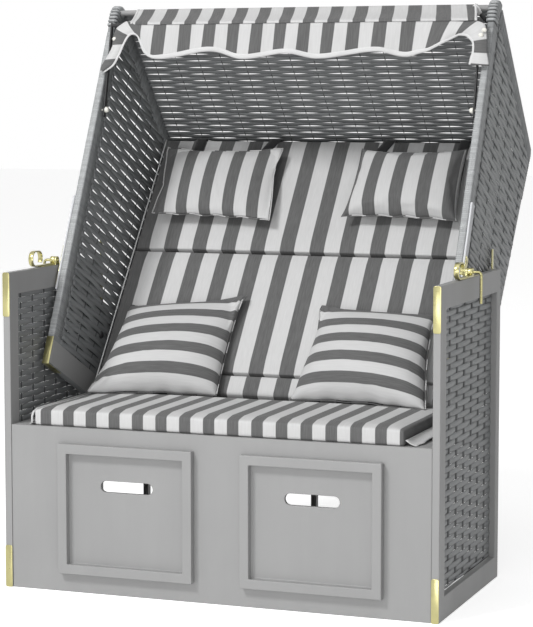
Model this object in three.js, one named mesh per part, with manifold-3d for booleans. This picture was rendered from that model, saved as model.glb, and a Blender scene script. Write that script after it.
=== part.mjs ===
import * as THREE from 'three';
import { mergeGeometries, mergeVertices } from 'three/addons/utils/BufferGeometryUtils.js';
import Module from 'manifold-3d';

// A two-seat hooded beach chair: a wooden lower box with two drawers, and a wicker hood
// that reclines on two pivots, held by a brass latch on each arm.
// Millimetres, +Z up, +X to the right and +Y to the back for someone who stands in front of it.
// Left and right in the names are as seen from there too.

const wasm = await Module();
wasm.setup();

// Clearances
const seatGap = 0.3;
const cutOverrun = 5;

// Lower box
const boxWidth = 1200;
const boxDepth = 578;
const armHeight = 842;
const seatHeight = 439;
const boardThickness = 20;
const frontStileWidth = 50;
const rearStileWidth = 35;
const armRailHeight = 60;
const footRailHeight = 60;
const seatBoardThickness = 18;
const frontPanelThickness = 16;
const frontPanelSetBack = 2;
const rearBattenWidth = 16;

// Wicker panels
const wickerThickness = 6;
const slitHeight = 4;
const slitMargin = 9;

// Drawers
const drawerShift = 9;
const drawerSpacing = 512;
const drawerFrontWidth = 380;
const drawerFrontTopGap = 42;
const drawerFrontBottom = 52;
const drawerBarWidth = 25.5;
const drawerBarDepth = 20;
const drawerPanelThickness = 12;
const drawerOpeningLap = 14;
const drawerFit = 2;
const drawerSlotLength = 147;
const drawerSlotHeight = 30;
const drawerSlotBelowTop = 109;
const drawerBoxWidth = 330;
const drawerBoxHeight = 100;
const drawerBoxBottom = 69;
const drawerBoxLength = 490;
const drawerBoxWall = 10;
const runnerWallThickness = 16;
const runnerHeight = 60;
const runnerLedgeWidth = 36;
const runnerLedgeThickness = 12;

// Brass on the lower box
const brassThickness = 1.5;
const postBrassTopLength = 117;
const postBrassFootLength = 113;
const postBrassRound = 5;

// Arm latch
const leverStripWidth = 13;
const leverStripThickness = 3;
const leverReach = 118;
const ringRadius = 20;
const ringStraight = 18;
const ringOpeningAngle = 55;
const knuckleRadius = 10.5;
const knuckleBaseLength = 6;
const knuckleSeam = 1;
const latchSetBack = 292;
const latchBaseLength = 150;
const latchBaseRearShare = 0.4;
const axleRadius = 4;
const axleOuterReach = 22;
const axleBend = 9;
const rodDrop = 81;
const pawlClearance = 2;

// Hood
const hoodTilt = 25.7;
const hoodOuterWidth = 1136;
const pivotFromRear = 83;
const pivotAboveSeat = 188.5;
const hoodFloorClearance = 6.5;
const pivotFromHoodFront = 280;
const hoodBottomDepth = 344;
const hoodRearCornerDepth = 546;
const hoodRearCornerHeight = 882;
const hoodFrontCornerHeight = 1104;
const hoodFrontCornerDepth = 14;
const hoodCornerRound = 40;
const hoodTopRound = 16;
const hoodTipRound = 64;
const hoodStileWidth = 47;
const hoodBottomBoardHeight = 70;
const hoodRearStileWidth = 40;
const hoodRoofBandWidth = 85;
const pivotPadWidth = 110;
const pivotPadHeight = 250;
const pivotPinRadius = 7;
const pivotHeadRadius = 11;
const pivotHeadThickness = 6;
const pivotPlateThickness = 4;
const pivotPlateHeight = 56;
const pivotPlateRound = 18.5;
const guideStrapWidth = 15;
const guideStrapThickness = 3;
const guideStrapAbovePlate = 49.5;
const guideStrapLength = 190;
const roofDrop = 8;
const barRadius = 8;
const frontBarDepth = 19.5;
const frontBarDrop = 33;
const backWickerInset = 4;
const bottomRailFoot = 22;
const bottomRailHeight = 45;

// Backrest
const backFaceFoot = 252;
const backFaceSteeper = 0.8;
const backFaceBottom = 14;
const backFaceTop = 866;
const backPadThickness = 58;
const backPadCrown = 14;
const backPadSideGap = 18;
const backBoardThickness = 9;
const lowerPadLength = 69;
const middlePadLength = 387;
const padSeam = 2;
const padDrawIn = 4;

// Rack on each hood side
const rackWidth = 26;
const rackThickness = 6;
const rackFoot = 215;
const rackLength = 280;
const rackPlateFoot = 18;
const rackPlateLength = 112;
const rackPlateWidth = 20;
const rackSlotCount = 4;
const rackSlotWidth = 9;
const rackSlotHeight = 7;
const cornerBrassHeight = 77;
const cornerBrassDepth = 84;

// Neck pillows
const neckPillowSideGap = 21;
const neckPillowHeight = 218;
const neckPillowThickness = 84;
const neckPillowFoot = 611;
const neckPillowInner = 117;

// Seat cushion
const seatPadSideGap = 60;
const seatPadRear = 100;
const seatPadEdge = 40;
const seatPadCrown = 9;

// Throw pillows, each given by its four seam corners: outer foot, inner foot, inner top, outer top.
// The third size of a corner is its height above the seat board.
const pillowThickness = 120;
const pillowSeam = 4;
const pillowDrawInShare = 0.06;
const pillowSagShare = 0.2;
const leftPillowCorners = [[-470, 0, 78], [-130, 80, 66], [-139, 286, 297], [-499, 268, 275]];
const rightPillowCorners = [[471, 12, 64], [88, 68, 76], [92, 276, 275], [424, 268, 266]];

// Canopy bow and cloth
const bowPivotDepth = 21;
const bowPivotHeight = 766;
const bowBarForward = 52;
const bowBarBelow = 66;
const bowArmWidth = 12;
const bowArmThickness = 4;
const bowTail = 20;
const bowBarRadius = 6;
const bowSideGap = 7;
const knobRadius = 8;
const knobFaceRadius = 5.5;
const knobLength = 10;
const studRadius = 3;
const clothThickness = 3;
const clothHalfWidth = 534;
const flapHalfWidth = 566;
const valanceLength = 85;
const valanceWave = 10.5;
const valanceWaveLength = 243;
const valanceWaveMiddle = -28;
// The valance's arch beside each flap: where it starts to rise, its top and where the flap hangs full
const leftArch = { inner: 405, top: 471, flap: 536 };
const rightArch = { inner: 362, top: 490, flap: 526 };
const archHeight = 30;
const flapLength = 130;
const clothFold = 5;
const clothSlack = 1;
const overBarShare = 0.3;
const roofEndAngle = 150;
const valanceStartAngle = 165;

// Values worked out from the sizes above
const halfWidth = boxWidth / 2;
const innerHalf = halfWidth - boardThickness;
const frontFace = -boxDepth / 2;
const rearFace = boxDepth / 2;
const panelFront = frontFace + frontPanelSetBack;
const hoodHalf = hoodOuterWidth / 2;
const hoodInnerHalf = hoodHalf - boardThickness;
const pivotY = rearFace - pivotFromRear;
const pivotZ = seatHeight + pivotAboveSeat;
const pivotFromHoodBottom = pivotAboveSeat - hoodFloorClearance;
const guideStrapFoot = pivotZ + pivotPlateHeight / 2 + guideStrapAbovePlate;
const drawerFrontHeight = seatHeight - drawerFrontTopGap - drawerFrontBottom;
const drawerSlotCentre = seatHeight - drawerFrontTopGap - drawerSlotBelowTop;
const rearSlope = (hoodRearCornerDepth - hoodBottomDepth) / hoodRearCornerHeight;
const rearAngle = Math.atan(rearSlope);
const roofRun = hoodRearCornerDepth - hoodFrontCornerDepth;
const roofFall = (hoodFrontCornerHeight - hoodRearCornerHeight) / roofRun;
const roofAngle = Math.atan(roofFall);
const backAngle = rearAngle - THREE.MathUtils.degToRad(backFaceSteeper);
const frontBarHeight = hoodFrontCornerHeight - frontBarDrop;
const bowBarDepth = frontBarDepth - bowBarForward;
const bowBarHeight = frontBarHeight - bowBarBelow;
const bowArmLength = Math.hypot(bowPivotDepth - bowBarDepth, bowBarHeight - bowPivotHeight);
const bowAngle = Math.atan2(bowPivotDepth - bowBarDepth, bowBarHeight - bowPivotHeight);
const bowArmLean = THREE.MathUtils.radToDeg(bowAngle);

// Finishes
const finishes = {
  paint: { color: 0xa0a0a0, roughness: 0.6, metalness: 0 },
  wicker: { color: 0x6c7072, roughness: 0.55, metalness: 0 },
  brass: { color: 0xc8be64, roughness: 0.3, metalness: 1 },
  cloth: { color: 0xd2d2d2, roughness: 0.9, metalness: 0 },
  darkCloth: { color: 0x686868, roughness: 0.9, metalness: 0 },
  rack: { color: 0xd8d6d2, roughness: 0.6, metalness: 0 },
  steel: { color: 0x303232, roughness: 0.45, metalness: 1 },
  knob: { color: 0xe4e0d0, roughness: 0.5, metalness: 0 },
};

function part(name, geometry, finish) {
  const mesh = new THREE.Mesh(geometry, new THREE.MeshStandardMaterial(finishes[finish]));
  mesh.name = name;
  return mesh;
}

// Outlines

function polygon(points) {
  return new THREE.Shape(points.map(([a, b]) => new THREE.Vector2(a, b)));
}

function rectangle(a0, a1, b0, b1) {
  return [[a0, b0], [a1, b0], [a1, b1], [a0, b1]];
}

// A closed outline whose corners are rounded by the radius given with each point.
function roundedShape(corners) {
  const shape = new THREE.Shape();
  corners.forEach(([a, b, radius = 0], index) => {
    const corner = new THREE.Vector2(a, b);
    const before = corners[(index + corners.length - 1) % corners.length];
    const after = corners[(index + 1) % corners.length];
    const towards = (other) => new THREE.Vector2(other[0], other[1]).sub(corner).normalize();
    const start = corner.clone().addScaledVector(towards(before), radius);
    const end = corner.clone().addScaledVector(towards(after), radius);
    if (index === 0) shape.moveTo(start.x, start.y);
    else shape.lineTo(start.x, start.y);
    if (radius > 0) shape.quadraticCurveTo(a, b, end.x, end.y);
  });
  shape.closePath();
  return shape;
}

// Moves every edge of a counter-clockwise outline inwards.
function insetOutline(points, distance) {
  const edges = points.map(([a, b], index) => {
    const [c, d] = points[(index + 1) % points.length];
    const length = Math.hypot(c - a, d - b);
    const inward = [-(d - b) / length, (c - a) / length];
    return { a: a + inward[0] * distance, b: b + inward[1] * distance, da: c - a, db: d - b };
  });
  return points.map((_, index) => {
    const first = edges[(index + edges.length - 1) % edges.length];
    const second = edges[index];
    const cross = first.da * second.db - first.db * second.da;
    const share = ((second.a - first.a) * second.db - (second.b - first.b) * second.da) / cross;
    return [first.a + first.da * share, first.b + first.db * share];
  });
}

function isInside(points, a, b) {
  let inside = false;
  points.forEach(([a1, b1], index) => {
    const [a2, b2] = points[(index + 1) % points.length];
    if ((b1 > b) !== (b2 > b) && a < ((a2 - a1) * (b - b1)) / (b2 - b1) + a1) inside = !inside;
  });
  return inside;
}

function circleHole(a, b, radius) {
  return new THREE.Path().absarc(a, b, radius, 0, Math.PI * 2, true);
}

// Solids from outlines: across runs along X, forward towards -Y, and flat along Z.

// Holes are cut as prisms, which keeps a plate with many holes in line a closed body.
function extrude(shape, depth, curveSegments = 6) {
  const prism = (outline, length) => new THREE.ExtrudeGeometry(
    new THREE.Shape(outline.getPoints(curveSegments)), { depth: length, bevelEnabled: false });
  const plate = prism(shape, depth);
  if (shape.holes.length === 0) return plate;
  const tools = shape.holes.map((hole) => prism(hole, depth + 2 * cutOverrun).translate(0, 0, -cutOverrun));
  return cut(plate, mergeGeometries(tools));
}

function across(shape, x0, depth, curveSegments) {
  const turn = new THREE.Matrix4().set(0, 0, 1, x0, 1, 0, 0, 0, 0, 1, 0, 0, 0, 0, 0, 1);
  return extrude(shape, depth, curveSegments).applyMatrix4(turn);
}

function forward(shape, y0, depth, curveSegments) {
  return extrude(shape, depth, curveSegments).rotateX(Math.PI / 2).translate(0, y0, 0);
}

function block(x0, x1, y0, y1, z0, z1) {
  const geometry = new THREE.BoxGeometry(x1 - x0, y1 - y0, z1 - z0);
  return geometry.translate((x0 + x1) / 2, (y0 + y1) / 2, (z0 + z1) / 2);
}

// The x range of a piece that is the same on both sides, given by its distances from the middle.
function sideRange(side, inner, outer) {
  return side > 0 ? inner : -outer;
}

function sideways(side, shape, inner, outer, curveSegments) {
  return across(shape, sideRange(side, inner, outer), outer - inner, curveSegments);
}

function rodAcross(radius, x0, x1, y, z, segments = 16) {
  const geometry = new THREE.CylinderGeometry(radius, radius, x1 - x0, segments);
  return geometry.rotateZ(Math.PI / 2).translate((x0 + x1) / 2, y, z);
}

// Joining and cutting

function toSolid(geometry) {
  const bare = geometry.clone();
  bare.deleteAttribute('normal');
  bare.deleteAttribute('uv');
  const merged = mergeVertices(bare, 1e-4);
  const mesh = new wasm.Mesh({
    numProp: 3,
    vertProperties: new Float32Array(merged.attributes.position.array),
    triVerts: new Uint32Array(merged.index.array),
  });
  return new wasm.Manifold(mesh);
}

function toGeometry(solid) {
  const mesh = solid.getMesh();
  const geometry = new THREE.BufferGeometry();
  geometry.setAttribute('position', new THREE.BufferAttribute(mesh.vertProperties, 3));
  geometry.setIndex(new THREE.BufferAttribute(mesh.triVerts, 1));
  return geometry;
}

function joined(...geometries) {
  const solids = geometries.map(toSolid);
  return toGeometry(solids.reduce((sum, solid) => sum.add(solid)));
}

function cut(geometry, ...tools) {
  return toGeometry(tools.map(toSolid).reduce((rest, tool) => rest.subtract(tool), toSolid(geometry)));
}

// A closed body between two surfaces over the square from -1 to 1.
function padGeometry(columns, rows, upper, lower) {
  const steps = (count) => Array.from({ length: count + 1 }, (_, i) => Math.sin((i / count - 0.5) * Math.PI));
  const points = [];
  for (const surface of [upper, lower]) {
    for (const t of steps(rows)) for (const s of steps(columns)) points.push(surface(s, t));
  }
  return closedGrid(columns, rows, points);
}

function closedGrid(columns, rows, points) {
  const layer = (columns + 1) * (rows + 1);
  const at = (column, row, level) => level * layer + row * (columns + 1) + column;
  const index = [];
  const quad = (a, b, c, d) => index.push(a, b, c, a, c, d);
  for (let row = 0; row < rows; row += 1) {
    for (let column = 0; column < columns; column += 1) {
      quad(at(column, row, 0), at(column + 1, row, 0), at(column + 1, row + 1, 0), at(column, row + 1, 0));
      quad(at(column, row, 1), at(column, row + 1, 1), at(column + 1, row + 1, 1), at(column + 1, row, 1));
    }
  }
  for (let column = 0; column < columns; column += 1) {
    quad(at(column, 0, 1), at(column + 1, 0, 1), at(column + 1, 0, 0), at(column, 0, 0));
    quad(at(column, rows, 0), at(column + 1, rows, 0), at(column + 1, rows, 1), at(column, rows, 1));
  }
  for (let row = 0; row < rows; row += 1) {
    quad(at(0, row, 0), at(0, row + 1, 0), at(0, row + 1, 1), at(0, row, 1));
    quad(at(columns, row, 1), at(columns, row + 1, 1), at(columns, row + 1, 0), at(columns, row, 0));
  }
  const geometry = new THREE.BufferGeometry();
  geometry.setAttribute('position', new THREE.Float32BufferAttribute(points.flatMap((p) => p.toArray()), 3));
  geometry.setIndex(index);
  return facingOut(geometry);
}

// Turns every face round where the body would enclose a negative volume.
function facingOut(geometry) {
  const position = geometry.attributes.position;
  const index = geometry.index.array;
  const corner = (i) => new THREE.Vector3().fromBufferAttribute(position, index[i]);
  let volume = 0;
  for (let i = 0; i < index.length; i += 3) volume += corner(i).dot(corner(i + 1).cross(corner(i + 2)));
  if (volume < 0) {
    for (let i = 0; i < index.length; i += 3) [index[i], index[i + 1]] = [index[i + 1], index[i]];
  }
  return geometry;
}

// Wicker panels: a flat panel with staggered lens-shaped gaps that run along the outline's first axis.
function wickerShape(outline, { pitch, rowPitch, lengthShare }) {
  const shape = polygon(outline);
  const low = [0, 1].map((axis) => Math.min(...outline.map((point) => point[axis])));
  const high = [0, 1].map((axis) => Math.max(...outline.map((point) => point[axis])));
  const middle = (low[0] + high[0]) / 2;
  const rows = Math.floor((high[1] - low[1] - 2 * slitMargin) / rowPitch);
  const columns = Math.ceil((high[0] - low[0]) / pitch);
  const half = (pitch * lengthShare) / 2;
  for (let row = 0; row < rows; row += 1) {
    const b = (low[1] + high[1]) / 2 + (row - (rows - 1) / 2) * rowPitch;
    for (let column = -columns; column <= columns; column += 1) {
      const a = middle + (column + (row % 2) / 2) * pitch;
      const reach = half + slitMargin;
      const fits = [[-reach, 0], [reach, 0], [0, -slitMargin], [0, slitMargin]];
      if (fits.every(([da, db]) => isInside(outline, a + da, b + db))) {
        const lens = [[a - half, b], [a, b - slitHeight / 2], [a + half, b], [a, b + slitHeight / 2]];
        shape.holes.push(new THREE.Path(lens.map(([p, q]) => new THREE.Vector2(p, q))));
      }
    }
  }
  return shape;
}

// Lower box

function sideFrame(side) {
  const outer = polygon(rectangle(frontFace, rearFace, 0, armHeight));
  outer.holes.push(new THREE.Path(polygon(sideOpening()).getPoints()));
  return sideways(side, outer, innerHalf, halfWidth);
}

function sideOpening() {
  return rectangle(
    frontFace + frontStileWidth, rearFace - rearStileWidth, footRailHeight, armHeight - armRailHeight);
}

const sideWeave = { pitch: 118, rowPitch: 57, lengthShare: 0.36 };

function sideWicker(side) {
  const shape = wickerShape(insetOutline(sideOpening(), seatGap), sideWeave);
  return sideways(side, shape, innerHalf, innerHalf + wickerThickness);
}

function drawerCentre(side) {
  return drawerShift + (side * drawerSpacing) / 2;
}

function drawerOpening(side) {
  const halfOpening = drawerFrontWidth / 2 - drawerOpeningLap;
  const low = drawerFrontBottom + drawerOpeningLap;
  const high = drawerFrontBottom + drawerFrontHeight - drawerOpeningLap;
  return rectangle(drawerCentre(side) - halfOpening, drawerCentre(side) + halfOpening, low, high);
}

function frontPanel() {
  const reach = innerHalf - seatGap;
  const shape = polygon(rectangle(-reach, reach, 0, seatHeight));
  for (const side of [-1, 1]) shape.holes.push(new THREE.Path(polygon(drawerOpening(side)).getPoints()));
  return forward(shape, panelFront + frontPanelThickness, frontPanelThickness);
}

function seatBoard() {
  const reach = innerHalf - seatGap;
  const front = panelFront + frontPanelThickness + seatGap;
  return block(-reach, reach, front, rearFace, seatHeight - seatBoardThickness, seatHeight);
}

// The open back: two rails joined by four battens, one in line with each drawer runner.
function rearFrame() {
  const reach = innerHalf - seatGap;
  const top = seatHeight - seatBoardThickness - seatGap;
  const rail = (low, high) => block(-reach, reach, rearFace - boardThickness, rearFace, low, high);
  const places = [-1, 1].flatMap((side) => [-1, 1].map((hand) => drawerCentre(side) + hand * runnerOffset()));
  const battens = places.map((x) => block(
    x - rearBattenWidth / 2, x + rearBattenWidth / 2, rearFace - boardThickness, rearFace, 0, top));
  return joined(rail(0, footRailHeight), rail(top - footRailHeight, top), ...battens);
}

function runnerOffset() {
  return drawerBoxWidth / 2 + runnerLedgeWidth - drawerBoxWall;
}

// One of the two rails of L section on which a drawer slides.
function drawerRunner(side, hand) {
  const front = panelFront + frontPanelThickness + seatGap;
  const rear = rearFace - boardThickness - seatGap;
  const ledgeTop = drawerBoxBottom - seatGap;
  const ledgeBottom = ledgeTop - runnerLedgeThickness;
  const wall = drawerCentre(side) + hand * (runnerOffset() - runnerWallThickness / 2);
  const outer = wall + hand * runnerWallThickness;
  const inner = wall - hand * runnerLedgeWidth;
  const outline = polygon([
    [inner, ledgeBottom], [outer, ledgeBottom], [outer, ledgeBottom + runnerHeight],
    [wall, ledgeBottom + runnerHeight], [wall, ledgeTop], [inner, ledgeTop]]);
  return forward(outline, rear, rear - front);
}

function postBrass(side, low, high) {
  const x0 = sideRange(side, innerHalf, halfWidth);
  const x1 = x0 + boardThickness;
  const shape = roundedShape(
    rectangle(x0, x1, low, high).map(([x, z]) => [x, z, postBrassRound]));
  return forward(shape, frontFace - seatGap, brassThickness, 3);
}

function guideStrap(side) {
  const rear = rearFace - seatGap;
  const outline = rectangle(rear - guideStrapWidth, rear, guideStrapFoot, guideStrapFoot + guideStrapLength);
  return sideways(side, polygon(outline), innerHalf - guideStrapThickness, innerHalf - seatGap);
}

function pivotPlate(side) {
  const low = pivotZ - pivotPlateHeight / 2;
  const high = pivotZ + pivotPlateHeight / 2;
  const front = pivotY - pivotPlateHeight / 2;
  const shape = roundedShape([
    [front, low, pivotPlateRound], [rearFace, low], [rearFace, high], [front, high, pivotPlateRound]]);
  shape.holes.push(circleHole(pivotY, pivotZ, pivotPinRadius + seatGap));
  return sideways(side, shape, innerHalf - seatGap - pivotPlateThickness, innerHalf - seatGap);
}

// A bolt through the plate and the hood side, with its head inside the hood.
function pivotPin(side) {
  const headInner = hoodInnerHalf - seatGap - pivotHeadThickness;
  const profile = [
    [0, headInner], [pivotHeadRadius - pivotHeadThickness / 2, headInner],
    [pivotHeadRadius, headInner + pivotHeadThickness / 2], [pivotHeadRadius, hoodInnerHalf - seatGap],
    [pivotPinRadius, hoodInnerHalf - seatGap], [pivotPinRadius, innerHalf - seatGap],
    [0, innerHalf - seatGap]];
  const geometry = new THREE.LatheGeometry(profile.map(([r, h]) => new THREE.Vector2(r, h)), 20);
  return geometry.rotateZ((-side * Math.PI) / 2).translate(0, pivotY, pivotZ);
}

// Arm latch: a strip that curls into a finger ring at the front and a knuckle at the axle

const latchY = frontFace + latchSetBack;
const latchZ = armHeight + seatGap + brassThickness + seatGap + knuckleRadius;
const leverInner = innerHalf + knuckleBaseLength + seatGap + brassThickness;

function latchBase(side) {
  const rear = latchY + latchBaseLength * latchBaseRearShare;
  const low = armHeight + seatGap;
  const plate = polygon(rectangle(rear - latchBaseLength, rear, low, low + brassThickness));
  const foot = polygon(rectangle(latchY - knuckleRadius, latchY + knuckleRadius, low, latchZ));
  const barrel = circleOutline(latchY, latchZ, knuckleRadius);
  const inner = innerHalf + brassThickness;
  const outer = inner + knuckleBaseLength;
  const body = joined(
    sideways(side, plate, inner, halfWidth), sideways(side, foot, inner, outer),
    sideways(side, barrel, inner, outer, 12));
  const bore = rodAcross(axleRadius + seatGap, -halfWidth, halfWidth, latchY, latchZ);
  return cut(body, bore);
}

function circleOutline(a, b, radius) {
  return new THREE.Shape().absarc(a, b, radius, 0, Math.PI * 2, false);
}

// The middle line of the lever's strip, from the knuckle forward and round the ring.
function leverLine() {
  const level = latchZ - knuckleRadius + leverStripThickness / 2;
  const front = latchY - leverReach;
  const centre = level + ringRadius;
  const line = [[latchY, level]];
  const arc = (y, from, to, count) => {
    for (let i = 0; i <= count; i += 1) {
      const angle = THREE.MathUtils.degToRad(from + ((to - from) * i) / count);
      line.push([y + ringRadius * Math.cos(angle), centre + ringRadius * Math.sin(angle)]);
    }
  };
  arc(front, 270, 90, 14);
  arc(front + ringStraight, 90, ringOpeningAngle - 90, 10);
  return line;
}

// A band of even thickness along a line, as an outline.
function bandOutline(line, thickness) {
  const offset = (sign) => line.map(([a, b], index) => {
    const [a0, b0] = line[Math.max(index - 1, 0)];
    const [a1, b1] = line[Math.min(index + 1, line.length - 1)];
    const length = Math.hypot(a1 - a0, b1 - b0);
    return [a - (sign * thickness * (b1 - b0)) / 2 / length, b + (sign * thickness * (a1 - a0)) / 2 / length];
  });
  return [...offset(-1), ...offset(1).reverse()];
}

function latchLever(side) {
  const outer = leverInner + leverStripWidth;
  const strip = sideways(side, polygon(bandOutline(leverLine(), leverStripThickness)), leverInner, outer);
  const barrel = sideways(side, circleOutline(latchY, latchZ, knuckleRadius), leverInner, outer, 12);
  const bore = rodAcross(axleRadius + seatGap, -boxWidth, boxWidth, latchY, latchZ);
  const seamTop = latchZ + knuckleRadius + cutOverrun;
  const seam = block(
    -boxWidth, boxWidth, latchY - knuckleSeam, latchY, seamTop - cutOverrun - leverStripThickness, seamTop);
  return cut(joined(strip, barrel), bore, seam);
}

// The axle runs through both knuckles, and its outer end is bent down into a long handle.
function latchRod(side) {
  const inner = side * (hoodHalf + 2 * seatGap + rackThickness + brassThickness + pawlClearance);
  const outer = side * (halfWidth + axleOuterReach);
  const bend = side * axleBend;
  const path = new THREE.CurvePath();
  path.add(new THREE.LineCurve3(
    new THREE.Vector3(inner, latchY, latchZ), new THREE.Vector3(outer - bend, latchY, latchZ)));
  path.add(new THREE.QuadraticBezierCurve3(
    new THREE.Vector3(outer - bend, latchY, latchZ), new THREE.Vector3(outer, latchY, latchZ),
    new THREE.Vector3(outer, latchY, latchZ - axleBend)));
  path.add(new THREE.LineCurve3(
    new THREE.Vector3(outer, latchY, latchZ - axleBend), new THREE.Vector3(outer, latchY, latchZ - rodDrop)));
  return new THREE.ExtrudeGeometry(
    circleOutline(0, 0, axleRadius), { steps: 22, extrudePath: path, curveSegments: 5 });
}

// Drawers

function drawerFront(side) {
  const x = drawerCentre(side);
  const half = drawerFrontWidth / 2;
  const top = drawerFrontBottom + drawerFrontHeight;
  const ring = polygon(rectangle(x - half, x + half, drawerFrontBottom, top));
  const opening = rectangle(
    x - half + drawerBarWidth, x + half - drawerBarWidth,
    drawerFrontBottom + drawerBarWidth, top - drawerBarWidth);
  ring.holes.push(new THREE.Path(polygon(opening).getPoints()));
  const panel = polygon(insetOutline(drawerOpening(side), drawerFit));
  const slotHalf = (drawerSlotLength - drawerSlotHeight) / 2;
  const slot = new THREE.Path();
  slot.absarc(x + slotHalf, drawerSlotCentre, drawerSlotHeight / 2, -Math.PI / 2, Math.PI / 2, false);
  slot.absarc(x - slotHalf, drawerSlotCentre, drawerSlotHeight / 2, Math.PI / 2, (3 * Math.PI) / 2, false);
  panel.holes.push(slot);
  const back = panelFront - seatGap;
  const plate = forward(panel, back + drawerPanelThickness, drawerPanelThickness);
  return joined(forward(ring, back, drawerBarDepth), plate);
}

function drawerBox(side) {
  const x = drawerCentre(side);
  const half = drawerBoxWidth / 2;
  const front = panelFront + drawerPanelThickness;
  const rear = front + drawerBoxLength;
  const outer = block(x - half, x + half, front, rear, drawerBoxBottom, drawerBoxBottom + drawerBoxHeight);
  const inner = block(
    x - half + drawerBoxWall, x + half - drawerBoxWall, front + drawerBoxWall, rear - drawerBoxWall,
    drawerBoxBottom + drawerBoxWall, drawerBoxBottom + drawerBoxHeight + cutOverrun);
  return cut(outer, inner);
}

// Hood, in its own frame: y is the depth behind its front edge and z the height above its foot

function rearLine(height) {
  return hoodBottomDepth + rearSlope * height;
}

function roofLine(depth) {
  return hoodFrontCornerHeight - roofFall * (depth - hoodFrontCornerDepth);
}

function hoodOpening() {
  const rearInset = hoodRearStileWidth / Math.cos(rearAngle);
  const roofInset = hoodRoofBandWidth / Math.cos(roofAngle);
  const padFront = rearLine(hoodBottomBoardHeight) - rearInset - pivotPadWidth;
  const roofAtZero = roofLine(0) - roofInset;
  const rearAtZero = hoodBottomDepth - rearInset;
  const meetDepth = (rearAtZero + rearSlope * roofAtZero) / (1 + rearSlope * roofFall);
  return [
    [hoodStileWidth, hoodBottomBoardHeight], [padFront, hoodBottomBoardHeight], [padFront, pivotPadHeight],
    [rearLine(pivotPadHeight) - rearInset, pivotPadHeight], [meetDepth, roofAtZero - roofFall * meetDepth],
    [hoodStileWidth, roofAtZero - roofFall * hoodStileWidth]];
}

function hoodSide(side) {
  const shape = roundedShape([
    [0, 0], [hoodBottomDepth, 0, hoodCornerRound], [hoodRearCornerDepth, hoodRearCornerHeight, hoodTopRound],
    [0, roofLine(0), hoodTipRound]]);
  shape.holes.push(new THREE.Path(polygon(hoodOpening()).getPoints()));
  shape.holes.push(circleHole(pivotFromHoodFront, pivotFromHoodBottom, pivotPinRadius + seatGap));
  return sideways(side, shape, hoodInnerHalf, hoodHalf);
}

const hoodWeave = { pitch: 128, rowPitch: 54, lengthShare: 0.4 };

function hoodSideWicker(side) {
  const shape = wickerShape(insetOutline(hoodOpening(), seatGap), hoodWeave);
  return sideways(side, shape, hoodInnerHalf, hoodInnerHalf + wickerThickness);
}

// Distance along the roof, from its front corner, at which a depth lies.
function alongRoof(depth) {
  return (depth - hoodFrontCornerDepth) / Math.cos(roofAngle);
}

const roofWeave = { pitch: 132, rowPitch: 46, lengthShare: 0.5 };

function roofWicker() {
  const reach = hoodInnerHalf - seatGap;
  const start = alongRoof(frontBarDepth + barRadius + roofDrop);
  const end = alongRoof(hoodRearCornerDepth) - backWickerInset - wickerThickness - hoodTopRound;
  const panel = extrude(wickerShape(rectangle(-reach, reach, start, end), roofWeave), wickerThickness);
  panel.translate(0, 0, -roofDrop - wickerThickness).rotateX(-roofAngle);
  return panel.translate(0, hoodFrontCornerDepth, hoodFrontCornerHeight);
}

const backWeave = { pitch: 132, rowPitch: 96, lengthShare: 0.4 };

function backWicker() {
  const reach = hoodInnerHalf - seatGap;
  const low = bottomRailFoot;
  const high = (hoodRearCornerHeight - hoodTopRound) / Math.cos(rearAngle);
  const panel = forward(wickerShape(rectangle(-reach, reach, low, high), backWeave), 0, wickerThickness);
  return panel.translate(0, -backWickerInset, 0).rotateX(-rearAngle).translate(0, hoodBottomDepth, 0);
}

function hoodBar(depth, height) {
  const reach = hoodInnerHalf - seatGap;
  return rodAcross(barRadius, -reach, reach, depth, height, 14);
}

// The rear top bar lies in the corner under the roof and in front of the rear wicker.
function rearCornerBar() {
  const below = (roofDrop + wickerThickness + seatGap + barRadius) / Math.cos(roofAngle);
  const before = (backWickerInset + wickerThickness + seatGap + barRadius) / Math.cos(rearAngle);
  const roofAtZero = roofLine(0) - below;
  const depth = (hoodBottomDepth - before + rearSlope * roofAtZero) / (1 + rearSlope * roofFall);
  return hoodBar(depth, roofAtZero - roofFall * depth);
}

function backFace(height) {
  return backFaceFoot + Math.tan(backAngle) * height;
}

function boardRear(height) {
  return backFace(height) + (backPadThickness + seatGap + backBoardThickness) / Math.cos(backAngle);
}

// The rail that joins the hood sides at the foot, between the backrest board and the rear wicker.
function hoodBottomRail() {
  const reach = hoodInnerHalf - seatGap;
  const wickerFace = (height) => rearLine(height) - (backWickerInset + wickerThickness) / Math.cos(rearAngle);
  const top = bottomRailFoot + bottomRailHeight;
  const outline = [
    [boardRear(bottomRailFoot) + seatGap, bottomRailFoot],
    [wickerFace(bottomRailFoot) - seatGap, bottomRailFoot],
    [wickerFace(top) - seatGap, top], [boardRear(top) + seatGap, top]];
  return across(polygon(outline), -reach, 2 * reach);
}

// Pieces of the backrest are made lying on the face line and then leaned back with it.
function leanBack(geometry) {
  return geometry.rotateX(-backAngle).translate(0, backFaceFoot, 0);
}

function backBoard() {
  const reach = hoodInnerHalf - seatGap;
  const front = backPadThickness + seatGap;
  const length = Math.cos(backAngle);
  return leanBack(block(
    -reach, reach, front, front + backBoardThickness, backFaceBottom / length, backFaceTop / length));
}

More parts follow.
